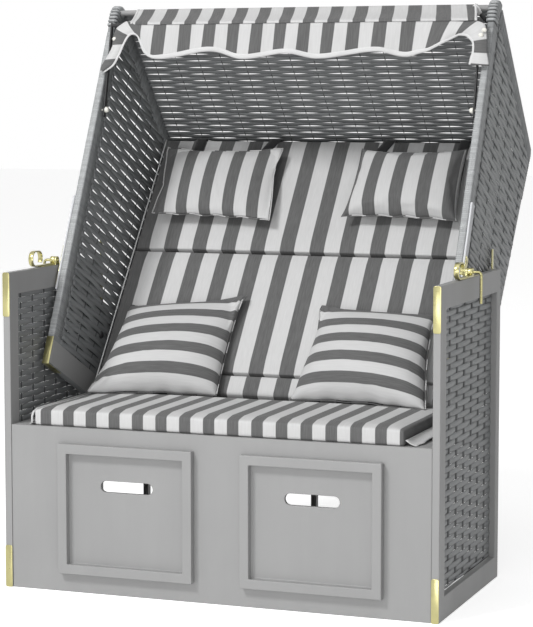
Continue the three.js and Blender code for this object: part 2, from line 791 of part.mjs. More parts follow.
function backPad(low, high, rows) {
  const centre = (low + high) / 2;
  const halfLength = (high - low - padSeam) / 2;
  const half = hoodInnerHalf - backPadSideGap;
  const place = (s, t, depth) => new THREE.Vector3(
    s * (half - padDrawIn * s * s * (1 - t * t)), depth,
    centre + t * (halfLength - (padDrawIn / 2) * t * t * (1 - s * s)));
  const swell = (s, t) => backPadCrown * (1 - s ** 8) * (1 - t ** 4);
  return leanBack(padGeometry(
    14, rows, (s, t) => place(s, t, backPadCrown - swell(s, t)), (s, t) => place(s, t, backPadThickness)));
}

// A pillow whose seam is a square between four corners and whose faces swell from it.
// The filling sinks a little towards the foot, and settle moves each point off what it rests on.
function pillowGeometry(corners, thickness, sagShare, settle) {
  const [a, b, c, d] = corners;
  const normal = c.clone().sub(a).cross(d.clone().sub(b)).normalize();
  const point = (s, t, sign) => {
    const p = (1 + s * (1 - pillowDrawInShare * s * s * (1 - t * t))) / 2;
    const q = (1 + t * (1 - pillowDrawInShare * t * t * (1 - s * s))) / 2;
    const low = a.clone().lerp(b, p);
    const high = d.clone().lerp(c, p);
    const swell = Math.sqrt(Math.max(0, (1 - s ** 2) * (1 - t ** 2))) * (1 - sagShare * t);
    const lift = (pillowSeam + (thickness - pillowSeam) * swell) / 2;
    return settle(low.lerp(high, q).addScaledVector(normal, sign * lift));
  };
  return padGeometry(12, 10, (s, t) => point(s, t, 1), (s, t) => point(s, t, -1));
}

function neckPillow(side) {
  const inner = side * neckPillowInner;
  const outer = side * (hoodInnerHalf - neckPillowSideGap);
  const depth = -neckPillowThickness / 2 - seatGap;
  const foot = neckPillowFoot / Math.cos(backAngle);
  const top = foot + neckPillowHeight;
  const corners = [[outer, foot], [inner, foot], [inner, top], [outer, top]];
  const seam = corners.map(([x, z]) => new THREE.Vector3(x, depth, z));
  return leanBack(pillowGeometry(seam, neckPillowThickness, 0, (point) => point));
}

// A throw pillow stands on the seat cushion and leans on the reclined backrest, flattened by both.
function throwPillow(corners) {
  const tilt = THREE.MathUtils.degToRad(hoodTilt);
  const backOut = new THREE.Vector3(0, -Math.cos(tilt + backAngle), Math.sin(tilt + backAngle));
  const backFoot = new THREE.Vector3(0, backFaceFoot - pivotFromHoodFront, -pivotFromHoodBottom)
    .applyAxisAngle(new THREE.Vector3(1, 0, 0), -tilt).add(new THREE.Vector3(0, pivotY, pivotZ));
  const seatTop = seatHeight + seatGap + seatPadEdge + seatPadCrown + seatGap;
  const settle = (point) => {
    const clear = backOut.dot(point.clone().sub(backFoot)) - seatGap;
    if (clear < 0) point.addScaledVector(backOut, -clear);
    point.z = Math.max(point.z, seatTop);
    return point;
  };
  const seam = corners.map(([x, y, z]) => new THREE.Vector3(x, y, seatHeight + z));
  return pillowGeometry(seam, pillowThickness, pillowSagShare, settle);
}

function seatPad() {
  const front = panelFront;
  const rear = seatPadRear;
  const half = innerHalf - seatPadSideGap;
  const halfLength = (rear - front) / 2;
  const place = (s, t, height) => new THREE.Vector3(
    s * (half - padDrawIn * s * s * (1 - t * t)),
    (front + rear) / 2 + t * (halfLength - padDrawIn * t * t * (1 - s * s)), seatHeight + seatGap + height);
  const swell = (s, t) => seatPadCrown * (1 - s ** 8) * (1 - t ** 6);
  return padGeometry(18, 8, (s, t) => place(s, t, seatPadEdge + swell(s, t)), (s, t) => place(s, t, 0));
}

// Rack on the outside of each hood side: a wooden strip with a slotted brass plate
function rackStrip(side) {
  const outline = rectangle(0, rackWidth, rackFoot, rackFoot + rackLength);
  return sideways(side, polygon(outline), hoodHalf + seatGap, hoodHalf + seatGap + rackThickness);
}

function rackPlate(side) {
  const inner = hoodHalf + 2 * seatGap + rackThickness;
  const margin = (rackWidth - rackPlateWidth) / 2;
  const low = rackFoot + rackPlateFoot;
  const shape = polygon(rectangle(margin, margin + rackPlateWidth, low, low + rackPlateLength));
  for (let i = 0; i < rackSlotCount; i += 1) {
    const height = low + ((i + 0.5) * rackPlateLength) / rackSlotCount;
    const slot = rectangle(
      rackWidth / 2 - rackSlotWidth / 2, rackWidth / 2 + rackSlotWidth / 2,
      height - rackSlotHeight / 2, height + rackSlotHeight / 2);
    shape.holes.push(new THREE.Path(polygon(slot).getPoints()));
  }
  return sideways(side, shape, inner, inner + brassThickness);
}

// A brass angle round the front foot of each hood side.
function hoodCorner(side) {
  const front = -seatGap - brassThickness;
  const outline = [
    [front, front], [cornerBrassDepth, front], [cornerBrassDepth, -seatGap],
    [-seatGap, -seatGap], [-seatGap, cornerBrassHeight], [front, cornerBrassHeight]];
  return sideways(side, polygon(outline), hoodInnerHalf, hoodHalf);
}

// Canopy bow: two flat arms on knobs and a round bar across their ends
const bowOuter = hoodInnerHalf - bowSideGap;

function canopyBow() {
  const arm = roundedShape([
    [-bowArmWidth / 2, -bowTail, bowArmWidth / 4], [bowArmWidth / 2, -bowTail, bowArmWidth / 4],
    [bowArmWidth / 2, bowArmLength + bowBarRadius], [-bowArmWidth / 2, bowArmLength + bowBarRadius]]);
  arm.holes.push(circleHole(0, 0, studRadius + seatGap));
  const arms = [-1, 1].map((side) => sideways(side, arm, bowOuter - bowArmThickness, bowOuter, 4));
  const bar = rodAcross(bowBarRadius, -bowOuter, bowOuter, 0, bowArmLength, 12);
  return joined(...arms, bar).rotateX(bowAngle).translate(0, bowPivotDepth, bowPivotHeight);
}

function canopyKnob(side) {
  const headOuter = bowOuter - bowArmThickness - seatGap;
  const profile = [
    [0, headOuter - knobLength], [knobFaceRadius, headOuter - knobLength],
    [knobRadius, headOuter - knobLength / 2], [knobRadius, headOuter], [studRadius, headOuter],
    [studRadius, hoodInnerHalf - seatGap], [0, hoodInnerHalf - seatGap]];
  const geometry = new THREE.LatheGeometry(profile.map(([r, h]) => new THREE.Vector2(r, h)), 14);
  return geometry.rotateZ((-side * Math.PI) / 2).translate(0, bowPivotDepth, bowPivotHeight);
}

// Cloth of even thickness over a grid of points of its middle surface.
function clothGeometry(columns, rows, middle) {
  const nudge = 1e-3;
  const normal = (s, t) => {
    const along = middle(s + nudge, t).sub(middle(s - nudge, t));
    const down = middle(s, t + nudge).sub(middle(s, t - nudge));
    return along.cross(down).normalize();
  };
  const points = [];
  for (const sign of [1, -1]) {
    for (let row = 0; row <= rows; row += 1) {
      for (let column = 0; column <= columns; column += 1) {
        const s = (2 * column) / columns - 1;
        const t = row / rows;
        points.push(middle(s, t).addScaledVector(normal(s, t), (sign * clothThickness) / 2));
      }
    }
  }
  return closedGrid(columns, rows, points);
}

const clothLift = seatGap + clothThickness / 2;
const bowWrapRadius = bowBarRadius + clothLift + clothSlack;

// A point of the cloth round the bow's bar, at an angle from the depth axis.
function roundBowBar(degrees) {
  const angle = THREE.MathUtils.degToRad(degrees);
  return new THREE.Vector2(
    bowBarDepth + bowWrapRadius * Math.cos(angle), bowBarHeight + bowWrapRadius * Math.sin(angle));
}

// The roof piece lies over the front bar and runs down to the bar of the bow.
function canopyRoof() {
  const start = new THREE.Vector2(frontBarDepth, frontBarHeight + barRadius + clothLift);
  const round = (barRadius + clothLift) * Math.SQRT1_2;
  const shoulder = new THREE.Vector2(frontBarDepth - round, frontBarHeight + round);
  const over = new THREE.QuadraticBezierCurve(start, new THREE.Vector2(shoulder.x, start.y), shoulder);
  const middle = (s, t) => {
    const share = (t - overBarShare) / (1 - overBarShare);
    const along = share < 0
      ? over.getPoint(Math.max(t, 0) / overBarShare)
      : shoulder.clone().lerp(roundBowBar(roofEndAngle), share);
    return new THREE.Vector3(s * clothHalfWidth, along.x, along.y);
  };
  return clothGeometry(12, 6, middle);
}

// How far the cloth hangs below the bow at a distance from the middle.
function hemLength(x) {
  const reach = Math.abs(x);
  const arch = x < 0 ? leftArch : rightArch;
  const turn = (Math.PI * 2 * (x - valanceWaveMiddle)) / valanceWaveLength;
  const wave = valanceLength - valanceWave * Math.cos(turn);
  const rise = THREE.MathUtils.smoothstep(reach, arch.inner, arch.top);
  const fall = THREE.MathUtils.smoothstep(reach, arch.top, arch.flap);
  return THREE.MathUtils.lerp(wave, archHeight, rise) + (flapLength - archHeight) * fall;
}

// The valance hangs straight down in the reclined pose; its end flaps follow the bow arms.
function canopyValance() {
  const rows = 6;
  const middle = (s, t) => {
    const x = s * flapHalfWidth;
    const arch = x < 0 ? leftArch : rightArch;
    const beside = THREE.MathUtils.smoothstep(Math.abs(x), arch.inner, arch.top);
    const lean = THREE.MathUtils.lerp(hoodTilt, bowArmLean, beside);
    const share = t * rows - 1;
    if (share < 0) {
      const wrap = roundBowBar(THREE.MathUtils.lerp(180 + lean, valanceStartAngle, -Math.max(share, -1)));
      return new THREE.Vector3(x, wrap.x, wrap.y);
    }
    const angle = THREE.MathUtils.degToRad(lean);
    const from = roundBowBar(180 + lean);
    const down = share / (rows - 1);
    const drop = hemLength(x) * down;
    const turn = (Math.PI * 2 * (x - valanceWaveMiddle)) / valanceWaveLength;
    const fold = clothFold * down * (1 - beside) * Math.sin(turn * 2);
    return new THREE.Vector3(
      x, from.x + Math.sin(angle) * drop - fold - clothLift * down, from.y - Math.cos(angle) * drop);
  };
  return clothGeometry(44, rows, middle);
}

// Assembly

const model = new THREE.Group();
const hood = new THREE.Group();
hood.position.set(0, pivotY, pivotZ);
hood.rotation.x = THREE.MathUtils.degToRad(-hoodTilt);
const hoodFrame = new THREE.Group();
hoodFrame.position.set(0, -pivotFromHoodFront, -pivotFromHoodBottom);
hood.add(hoodFrame);

model.add(
  part('front_panel', frontPanel(), 'paint'),
  part('seat_board', seatBoard(), 'paint'),
  part('rear_frame', rearFrame(), 'paint'),
  part('seat_cushion', seatPad(), 'cloth'),
  part('throw_pillow_left', throwPillow(leftPillowCorners), 'cloth'),
  part('throw_pillow_right', throwPillow(rightPillowCorners), 'cloth'),
  hood);

const lowerSeam = backFaceBottom + lowerPadLength;
const middleSeam = lowerSeam + middlePadLength;
const leanLength = Math.cos(backAngle);
hoodFrame.add(
  part('roof_wicker', roofWicker(), 'wicker'),
  part('back_wicker', backWicker(), 'wicker'),
  part('hood_front_bar', hoodBar(frontBarDepth, frontBarHeight), 'paint'),
  part('hood_rear_bar', rearCornerBar(), 'paint'),
  part('hood_bottom_rail', hoodBottomRail(), 'paint'),
  part('backrest_board', backBoard(), 'paint'),
  part('back_cushion_lower', backPad(backFaceBottom / leanLength, lowerSeam / leanLength, 3), 'cloth'),
  part('back_cushion_middle', backPad(lowerSeam / leanLength, middleSeam / leanLength, 8), 'cloth'),
  part('back_cushion_upper', backPad(middleSeam / leanLength, backFaceTop / leanLength, 8), 'cloth'),
  part('canopy_bow', canopyBow(), 'steel'),
  part('canopy_roof', canopyRoof(), 'cloth'),
  part('canopy_valance', canopyValance(), 'darkCloth'));

for (const [side, hand] of [[-1, 'left'], [1, 'right']]) {
  model.add(
    part(`side_frame_${hand}`, sideFrame(side), 'paint'),
    part(`side_wicker_${hand}`, sideWicker(side), 'wicker'),
    part(`runner_left_of_${hand}_drawer`, drawerRunner(side, -1), 'paint'),
    part(`runner_right_of_${hand}_drawer`, drawerRunner(side, 1), 'paint'),
    part(`drawer_front_${hand}`, drawerFront(side), 'paint'),
    part(`drawer_box_${hand}`, drawerBox(side), 'paint'),
    part(`post_brass_top_${hand}`, postBrass(side, armHeight - postBrassTopLength, armHeight), 'brass'),
    part(`post_brass_foot_${hand}`, postBrass(side, 0, postBrassFootLength), 'brass'),
    part(`guide_strap_${hand}`, guideStrap(side), 'brass'),
    part(`pivot_plate_${hand}`, pivotPlate(side), 'steel'),
    part(`pivot_pin_${hand}`, pivotPin(side), 'steel'),
    part(`latch_base_${hand}`, latchBase(side), 'brass'),
    part(`latch_lever_${hand}`, latchLever(side), 'brass'),
    part(`latch_rod_${hand}`, latchRod(side), 'brass'));
  hoodFrame.add(
    part(`hood_side_${hand}`, hoodSide(side), 'paint'),
    part(`hood_side_wicker_${hand}`, hoodSideWicker(side), 'wicker'),
    part(`neck_pillow_${hand}`, neckPillow(side), 'cloth'),
    part(`rack_strip_${hand}`, rackStrip(side), 'rack'),
    part(`rack_plate_${hand}`, rackPlate(side), 'brass'),
    part(`hood_corner_${hand}`, hoodCorner(side), 'brass'),
    part(`canopy_knob_${hand}`, canopyKnob(side), 'knob'));
}

// The origin is under the middle of the whole chair, so the chair is moved along Y to suit.
const extent = new THREE.Box3().setFromObject(model, true);
model.position.y = -(extent.min.y + extent.max.y) / 2;

export default model;
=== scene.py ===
import math

import bmesh
import bpy
import numpy as np
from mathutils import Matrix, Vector


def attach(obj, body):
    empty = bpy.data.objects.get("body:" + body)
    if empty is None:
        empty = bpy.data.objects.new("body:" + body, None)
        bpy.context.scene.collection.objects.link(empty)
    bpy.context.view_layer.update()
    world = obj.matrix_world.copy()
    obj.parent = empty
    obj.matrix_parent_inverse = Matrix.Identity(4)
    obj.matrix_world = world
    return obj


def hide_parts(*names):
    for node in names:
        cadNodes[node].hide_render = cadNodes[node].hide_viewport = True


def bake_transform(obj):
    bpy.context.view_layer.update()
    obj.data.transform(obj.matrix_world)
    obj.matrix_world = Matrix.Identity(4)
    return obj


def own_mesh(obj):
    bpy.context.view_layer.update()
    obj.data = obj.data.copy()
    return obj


# Hooded beach chair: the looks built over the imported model.
# Metres, +Z up, front of the chair towards -Y. Left and right are the viewer's.

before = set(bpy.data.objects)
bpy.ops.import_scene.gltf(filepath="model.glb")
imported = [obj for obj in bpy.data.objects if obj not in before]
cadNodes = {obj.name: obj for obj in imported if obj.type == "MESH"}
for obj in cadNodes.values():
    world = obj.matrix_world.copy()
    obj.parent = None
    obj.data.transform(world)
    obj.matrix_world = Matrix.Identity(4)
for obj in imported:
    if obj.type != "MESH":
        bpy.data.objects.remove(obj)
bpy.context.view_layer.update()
randomSource = np.random.default_rng(7)
hands = (("left", -1), ("right", 1))

# Camera
shot = {
    "place": (2.0552, -5.5955, 1.3012),
    "yaw": 0.3594,
    "pitch": 0.0994,
    "sensor": 36,
    "lens": 124.46,  # millimetres on the sensor along the picture's long side
    "near": 0.1,
    "far": 60,
}


def linked(name, data):
    made = bpy.data.objects.new(name, data)
    bpy.context.scene.collection.objects.link(made)
    return made


def aimed(holder, place, ahead):
    holder.location = place
    holder.rotation_mode = "QUATERNION"
    holder.rotation_quaternion = ahead.to_track_quat("-Z", "Y")


def makeCamera():
    camera = linked("camera", bpy.data.cameras.new("camera"))
    yaw, pitch = shot["yaw"], shot["pitch"]
    level = math.cos(pitch)
    aimed(camera, shot["place"], Vector((-math.sin(yaw) * level, math.cos(yaw) * level, -math.sin(pitch))))
    camera.data.sensor_width, camera.data.lens = shot["sensor"], shot["lens"]
    camera.data.clip_start, camera.data.clip_end = shot["near"], shot["far"]
    bpy.context.scene.camera = camera


makeCamera()
print("camera is set")


# Node trees
def setInput(tree, socket, value):
    # A signal is linked, and anything else is the socket's own value
    if isinstance(value, Signal):
        tree.links.new(value.socket, socket)
    else:
        socket.default_value = value


def computed(tree, operation, *values):
    node = tree.nodes.new("ShaderNodeMath")
    node.operation = operation
    for socket, value in zip(node.inputs, values):
        setInput(tree, socket, value)
    return Signal(tree, node.outputs[0])


class Signal:
    # A socket of a tree that can stand in a sum

    def __init__(self, tree, socket):
        self.tree, self.socket = tree, socket

    def math(self, operation, *others):
        return computed(self.tree, operation, self, *others)

    def __add__(self, other):
        return self.math("ADD", other)

    def __sub__(self, other):
        return self.math("SUBTRACT", other)

    def __mul__(self, other):
        return self.math("MULTIPLY", other)

    def __truediv__(self, other):
        return self.math("DIVIDE", other)

    def __radd__(self, other):
        return computed(self.tree, "ADD", other, self)

    def __rsub__(self, other):
        return computed(self.tree, "SUBTRACT", other, self)

    def __rmul__(self, other):
        return computed(self.tree, "MULTIPLY", other, self)


class Nodes:
    # The nodes of one tree, of a material or of Geometry Nodes

    def __init__(self, tree):
        self.tree = tree

    def node(self, kind, settings=None, pick=0, **inputs):
        # An input is named by its socket, or by the letter i and the socket's number
        made = self.tree.nodes.new(kind)
        for key, value in (settings or {}).items():
            setattr(made, key, value)
        for key, value in inputs.items():
            socket = made.inputs[int(key[1:]) if key[0] == "i" and key[1:].isdigit() else key]
            setInput(self.tree, socket, value)
        return Signal(self.tree, made.outputs[pick])

    def vector(self, x=0.0, y=0.0, z=0.0):
        return self.node("ShaderNodeCombineXYZ", X=x, Y=y, Z=z)

    def axes(self, source):
        split = self.node("ShaderNodeSeparateXYZ", i0=source).socket.node
        return [Signal(self.tree, out) for out in split.outputs]


def scaled(tone, factor):
    return tuple(min(1.0, part * factor) for part in tone)


class Finish(Nodes):
    # One material, and what its shader is fed

    def __init__(self, name, **constants):
        self.material = bpy.data.materials.new(name)
        self.material.use_nodes = True
        super().__init__(self.material.node_tree)
        self.shader = next(n for n in self.tree.nodes if n.type == "BSDF_PRINCIPLED")
        for socket, value in constants.items():
            self.shader.inputs[socket.replace("_", " ")].default_value = value

    def place(self):
        return self.node("ShaderNodeTexCoord", pick=3)

    def stored(self, name):
        return self.node("ShaderNodeAttribute", {"attribute_name": name}, 2)

    def cloud(self, scale, detail=3.0, roughness=0.5, source=None):
        # Noise; three scales stretch it along the axes
        source = source or self.place()
        if isinstance(scale, tuple):
            source = self.node("ShaderNodeMapping", Vector=source, Scale=scale)
            scale = 1.0
        noise = {"Vector": source, "Scale": scale, "Detail": detail, "Roughness": roughness}
        return self.node("ShaderNodeTexNoise", **noise)

    def shades(self, signal, tone, *stops):
        # Each of the two stops is a place of the signal and the tone's factor there
        made = self.node("ShaderNodeValToRGB", Fac=signal)
        for element, (place, factor) in zip(made.socket.node.color_ramp.elements, stops):
            element.position, element.color = place, (*scaled(tone, factor), 1)
        return made

    def between(self, factor, low, high):
        return self.node("ShaderNodeMix", {"data_type": "RGBA"}, 2, i0=factor, i6=low, i7=high)

    def fed(self, colour, rough, roughness, height, distance, strength=0.5):
        # roughness is the range that the signal rough runs over, and height is the bump's
        spread = self.node("ShaderNodeMapRange", Value=rough, i3=roughness[0], i4=roughness[1])
        bump = self.node("ShaderNodeBump", Height=height, Distance=distance, Strength=strength)
        for socket, signal in (("Base Color", colour), ("Roughness", spread), ("Normal", bump)):
            self.tree.links.new(signal.socket, self.shader.inputs[socket])
        return self.material


# Finishes
tones = {
    "paint": (0.3, 0.3, 0.3),
    # paler than the strand: the painted highlight on the lit edge of the wound strand
    "wrap": (0.35, 0.36, 0.365),
    "strand": (0.213, 0.221, 0.225),
    # near-black: painted shade for the stakes seen in the slits, and for sheets and strips where only shade
    # shows
    "stake": (0.05, 0.052, 0.054),
    "darkStripe": (0.106, 0.106, 0.106),
    "lightStripe": (0.565, 0.565, 0.565),
    "piping": (0.62, 0.62, 0.62),
    "brass": (0.43, 0.40, 0.2),
    "steel": (0.012, 0.012, 0.013),
    "cream": (0.78, 0.77, 0.71),
    "rack": (0.6, 0.61, 0.63),
    "strap": (0.02, 0.02, 0.021),
}
canvas = {"Sheen_Weight": 0.12, "Sheen_Roughness": 0.5}
threadPitch = 0.0021
stripeEdge = 0.0012


def paintFinish(name, tone):
    # Brushed paint over boards: long faint strokes and a little orange peel
    paint = Finish(name)
    strokes = paint.cloud((18, 18, 2.2), 4.0, 0.6)
    blotch = paint.cloud(5.5, 3.0, 0.55)
    colour = paint.shades(strokes * 0.5 + blotch * 0.5, tone, (0.3, 0.955), (0.7, 1.045))
    return paint.fed(colour, blotch, (0.42, 0.62), strokes * 0.35 + paint.cloud(420, 2.0) * 0.12, 0.0006)


def strandFinish(name, tone):
    # Flat synthetic strand: fine lines along it, and each strand a shade of its own
    strand = Finish(name)
    along = strand.cloud((60, 60, 60), 2.0)
    ridges = (strand.stored("across") * 19.0).math("SINE")
    colour = strand.shades(strand.stored("shade") * 0.7 + along * 0.3, tone, (0.1, 0.8), (0.9, 1.16))
    return strand.fed(colour, along, (0.38, 0.58), ridges * 0.5 + along * 0.3, 0.0004, 0.6)


def wrappedFinish(name, litEdgeTone, faceTone):
    # The strand wound over a board's edge, with a painted highlight: paler on the edge, which the light
    # meets, than on the faces
    strand = Finish(name)
    along = strand.cloud(55, 2.0)
    tint = strand.stored("shade") * 0.75 + along * 0.25
    face = strand.shades(tint, faceTone, (0.1, 0.84), (0.9, 1.1))
    edge = strand.shades(tint, litEdgeTone, (0.1, 0.86), (0.9, 1.1))
    return strand.fed(strand.between(strand.stored("edge"), face, edge), along, (0.4, 0.58), along, 0.0003)


def paintedShadeFinish(name, tone):
    # A near-black strand: painted shade, for the stakes in the weave's slits and for the gaps behind strands
    # and between coil rings
    stake = Finish(name)
    grain = stake.cloud(90, 3.0, 0.6)
    return stake.fed(stake.shades(grain, tone, (0.25, 0.88), (0.75, 1.1)), grain, (0.52, 0.7), grain, 0.0003)


def canvasWeave(cloth):
    # Fine over and under of the canvas threads, with slubs
    x, y, z = cloth.axes(cloth.place())
    turns = 2 * math.pi / threadPitch
    slub = cloth.cloud((140, 900, 900), 3.0, 0.6)
    return (x * turns).math("SINE") * ((y + z) * turns).math("SINE") * 0.25 + slub * 0.5, slub, x, y + z


def stripedFinish(name, settings, shift=0.0):
    # Stripes are counted along the stored length, from the left edge of a dark one
    cloth = Finish(name, **canvas)
    period = settings["period"]
    count = (cloth.stored("stripe") - (settings["darkFrom"] + shift)) / period
    part, edge = count.math("FRACT"), stripeEdge / period
    rise = (part / edge).math("MINIMUM", 1.0)
    fall = ((settings["darkShare"] - part) / edge + 0.5).math("MINIMUM", 1.0).math("MAXIMUM", 0.0)
    weave, slub, x, rest = canvasWeave(cloth)
    streak = cloth.cloud(1.0, 2.0, 0.5, cloth.vector(count * (period * 330), x * 22.0, rest * 22.0))
    dark = cloth.shades(streak, tones["darkStripe"], (0.3, 0.84), (0.72, 1.16))
    light = cloth.shades(streak, tones["lightStripe"], (0.3, 0.955), (0.72, 1.03))
    return cloth.fed(cloth.between(rise * fall, light, dark), slub, (0.78, 0.92), weave, 0.0005)


def plainClothFinish(name, tone):
    cloth = Finish(name, **canvas)
    weave, slub = canvasWeave(cloth)[:2]
    return cloth.fed(cloth.shades(slub, tone, (0.2, 0.93), (0.8, 1.05)), slub, (0.75, 0.9), weave, 0.0004)


def metalFinish(name, tone, rough, metallic):
    metal = Finish(name, Metallic=metallic)
    brushed = metal.cloud((30, 30, 260), 3.0, 0.6)
    worn = metal.cloud(26, 4.0, 0.6)
    colour = metal.shades(worn, tone, (0.3, 0.86), (0.75, 1.08))
    return metal.fed(colour, brushed * 0.5 + worn * 0.5, (rough - 0.08, rough + 0.12), brushed, 0.0001, 0.35)


def mouldedFinish(name, tone):
    moulded = Finish(name)
    haze = moulded.cloud(40)
    colour = moulded.shades(haze, tone, (0.3, 0.94), (0.7, 1.03))
    return moulded.fed(colour, haze, (0.35, 0.5), moulded.cloud(600, 2.0), 0.0002, 0.4)


finishes = {
    "paint": paintFinish("painted boards", tones["paint"]),
    "sidePaint": paintFinish("hood boards", tones["strand"]),
    "rack": paintFinish("pale painted strip", tones["rack"]),
    "strand": strandFinish("wicker strand", tones["strand"]),
    # the stile's and tip's wound strand is painted lighter than the plain strand, on its faces and most on
    # its lit edge; the roof edge's keeps the strand's own tone
    "wrap": wrappedFinish("wrapped strand", tones["wrap"], scaled(tones["strand"], 1.35)),
    "wrapDark": wrappedFinish("wrapped strand of the roof edge", tones["strand"], tones["strand"]),
    "stake": paintedShadeFinish("wicker stake", tones["stake"]),
    "piping": plainClothFinish("piping cord", tones["piping"]),
    "strap": plainClothFinish("black strap", tones["strap"]),
    "brass": metalFinish("polished brass", tones["brass"], 0.27, 1.0),
    "steel": metalFinish("black steel", tones["steel"], 0.6, 0.0),
    "cream": mouldedFinish("cream plastic", tones["cream"]),
}
print("finishes are mixed")


# Mesh helpers
def unit(vectors):
    return vectors / np.linalg.norm(vectors, axis=-1, keepdims=True)


def meshOf(vertices, faces=()):
    mesh = bpy.data.meshes.new("form")
    mesh.from_pydata([tuple(v) for v in vertices], [], [tuple(int(i) for i in f) for f in faces])
    return mesh


def placed(name, mesh, finish=None, smooth=True):
    # Without a finish the mesh keeps its own materials
    mesh.name = name
    if finish:
        mesh.materials.clear()
        mesh.materials.append(finish)
    mesh.polygons.foreach_set("use_smooth", [smooth] * len(mesh.polygons))
    mesh.update()
    return linked(name, mesh)


def settled(piece, body, slot, *replaced):
    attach(piece, body)
    if replaced:
        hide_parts(*replaced)
    return piece


def added(name, form, finish, body, slot):
    # A piece of vertices and faces that stands for no node
    return settled(placed(name, meshOf(*form), finishes[finish]), body, slot)


def coordinates(mesh):
    flat = np.empty(len(mesh.vertices) * 3, np.float32)
    mesh.vertices.foreach_get("co", flat)
    return flat.reshape(-1, 3).astype(float)


def setCoordinates(mesh, points):
    mesh.vertices.foreach_set("co", points.astype(np.float32).ravel())
    mesh.update()


def addAttribute(mesh, name, values):
    found = mesh.attributes.get(name) or mesh.attributes.new(name, "FLOAT", "POINT")
    found.data.foreach_set("value", np.asarray(values, np.float32))


def evaluatedMesh(piece):
    # The plain mesh that a piece's modifiers give; the piece itself is removed
    graph = bpy.context.evaluated_depsgraph_get()
    mesh = bpy.data.meshes.new_from_object(piece.evaluated_get(graph))
    bpy.data.objects.remove(piece)
    return mesh


def cleaned(mesh, weld=0.0):
    # Faces look outwards, and points closer than weld become one
    shape = bmesh.new()
    shape.from_mesh(mesh)
    if weld:
        bmesh.ops.remove_doubles(shape, verts=shape.verts, dist=weld)
    bmesh.ops.recalc_face_normals(shape, faces=shape.faces)
    shape.to_mesh(mesh)
    shape.free()
    return mesh


def squares(index):
    # The four point numbers of each square of a grid
    return np.stack((index[:-1, :-1], index[1:, :-1], index[1:, 1:], index[:-1, 1:]), -1).reshape(-1, 4)


def tubeMesh(path, radius, sides=6, closed=False, squash=1.0, across=None):
    # A round or flattened tube along points; across names the wide direction of a flattened one
    points = np.array(path, float)
    count = len(points)
    ahead = unit(np.roll(points, -1, 0) - np.roll(points, 1, 0) if closed else np.gradient(points, axis=0))
    guide = np.array((0.31, 0.17, 0.93) if across is None else across, float)
    side = guide - ahead[0] * guide.dot(ahead[0])
    wide = []
    for direction in ahead:
        start = side if across is None else guide
        side = unit(start - direction * start.dot(direction))
        wide.append(side)
    thin = np.cross(ahead, wide)
    reach = np.broadcast_to(radius, count)[:, None, None]
    flat = reach * np.broadcast_to(squash, count)[:, None, None]
    turns = 2 * math.pi * (np.arange(sides)[:, None] + 0.5) / sides
    rings = points[:, None] + np.array(wide)[:, None] * reach * np.cos(turns)
    rings = rings + thin[:, None] * flat * np.sin(turns)
    index = np.arange(count * sides).reshape(count, sides)
    near, far = (index, np.roll(index, -1, 0)) if closed else (index[:-1], index[1:])
    faces = np.stack((near, np.roll(near, -1, 1), np.roll(far, -1, 1), far), -1).reshape(-1, 4).tolist()
    if not closed:
        faces += [index[0, ::-1], index[-1]]
    return rings.reshape(-1, 3), faces


def sheetMesh(grid, **attributes):
    rows, columns = grid.shape[:2]
    mesh = meshOf(grid.reshape(-1, 3), squares(np.arange(rows * columns).reshape(rows, columns)))
    for name, values in attributes.items():
        addAttribute(mesh, name, np.broadcast_to(values, grid.shape[:2]).ravel())
    return mesh


def thickened(name, mesh, finish, thickness):
    piece = placed(name, mesh, finish)
    wall = piece.modifiers.new("wall", "SOLIDIFY")
    wall.thickness, wall.offset = thickness, 0
    return placed(name, evaluatedMesh(piece), finish)


# Hood frame of reference
hoodPlace = {
    "foot": (-0.343676, 0.584659),  # y and z of the hood's front foot corner, reclined
    "tilt": math.radians(25.7),
    "half": 0.568,
    "inner": 0.548,
    # the faces that slope: depth and height of the foot, and the lean from upright
    "backrest": ((0.252, 0.0), math.radians(12.1)),
    "rear": ((0.344, 0.0), math.atan2(0.202, 0.882)),
    "roof": ((0.014, 1.104), math.pi / 2 + math.atan2(0.222, 0.532)),
}


def hoodPoint(x, depth, height):
    # depth behind the hood's front edge and height above its foot, as a point of the chair
    cos, sin = math.cos(hoodPlace["tilt"]), math.sin(hoodPlace["tilt"])
    y, z = hoodPlace["foot"]
    y, z = y + depth * cos + height * sin, z - depth * sin + height * cos
    return np.stack(np.broadcast_arrays(x, y, z), -1)


def slopePoint(face, x, along, out):
    # along a sloping face from its foot, and out of it towards the sitter or, on the roof, upwards
    (depth, height), lean = hoodPlace[face]
    cos, sin = math.cos(lean), math.sin(lean)
    return hoodPoint(x, depth + along * sin - out * cos, height + along * cos + out * sin)


def backPoint(x, along, out):
    return slopePoint("backrest", x, along, out)


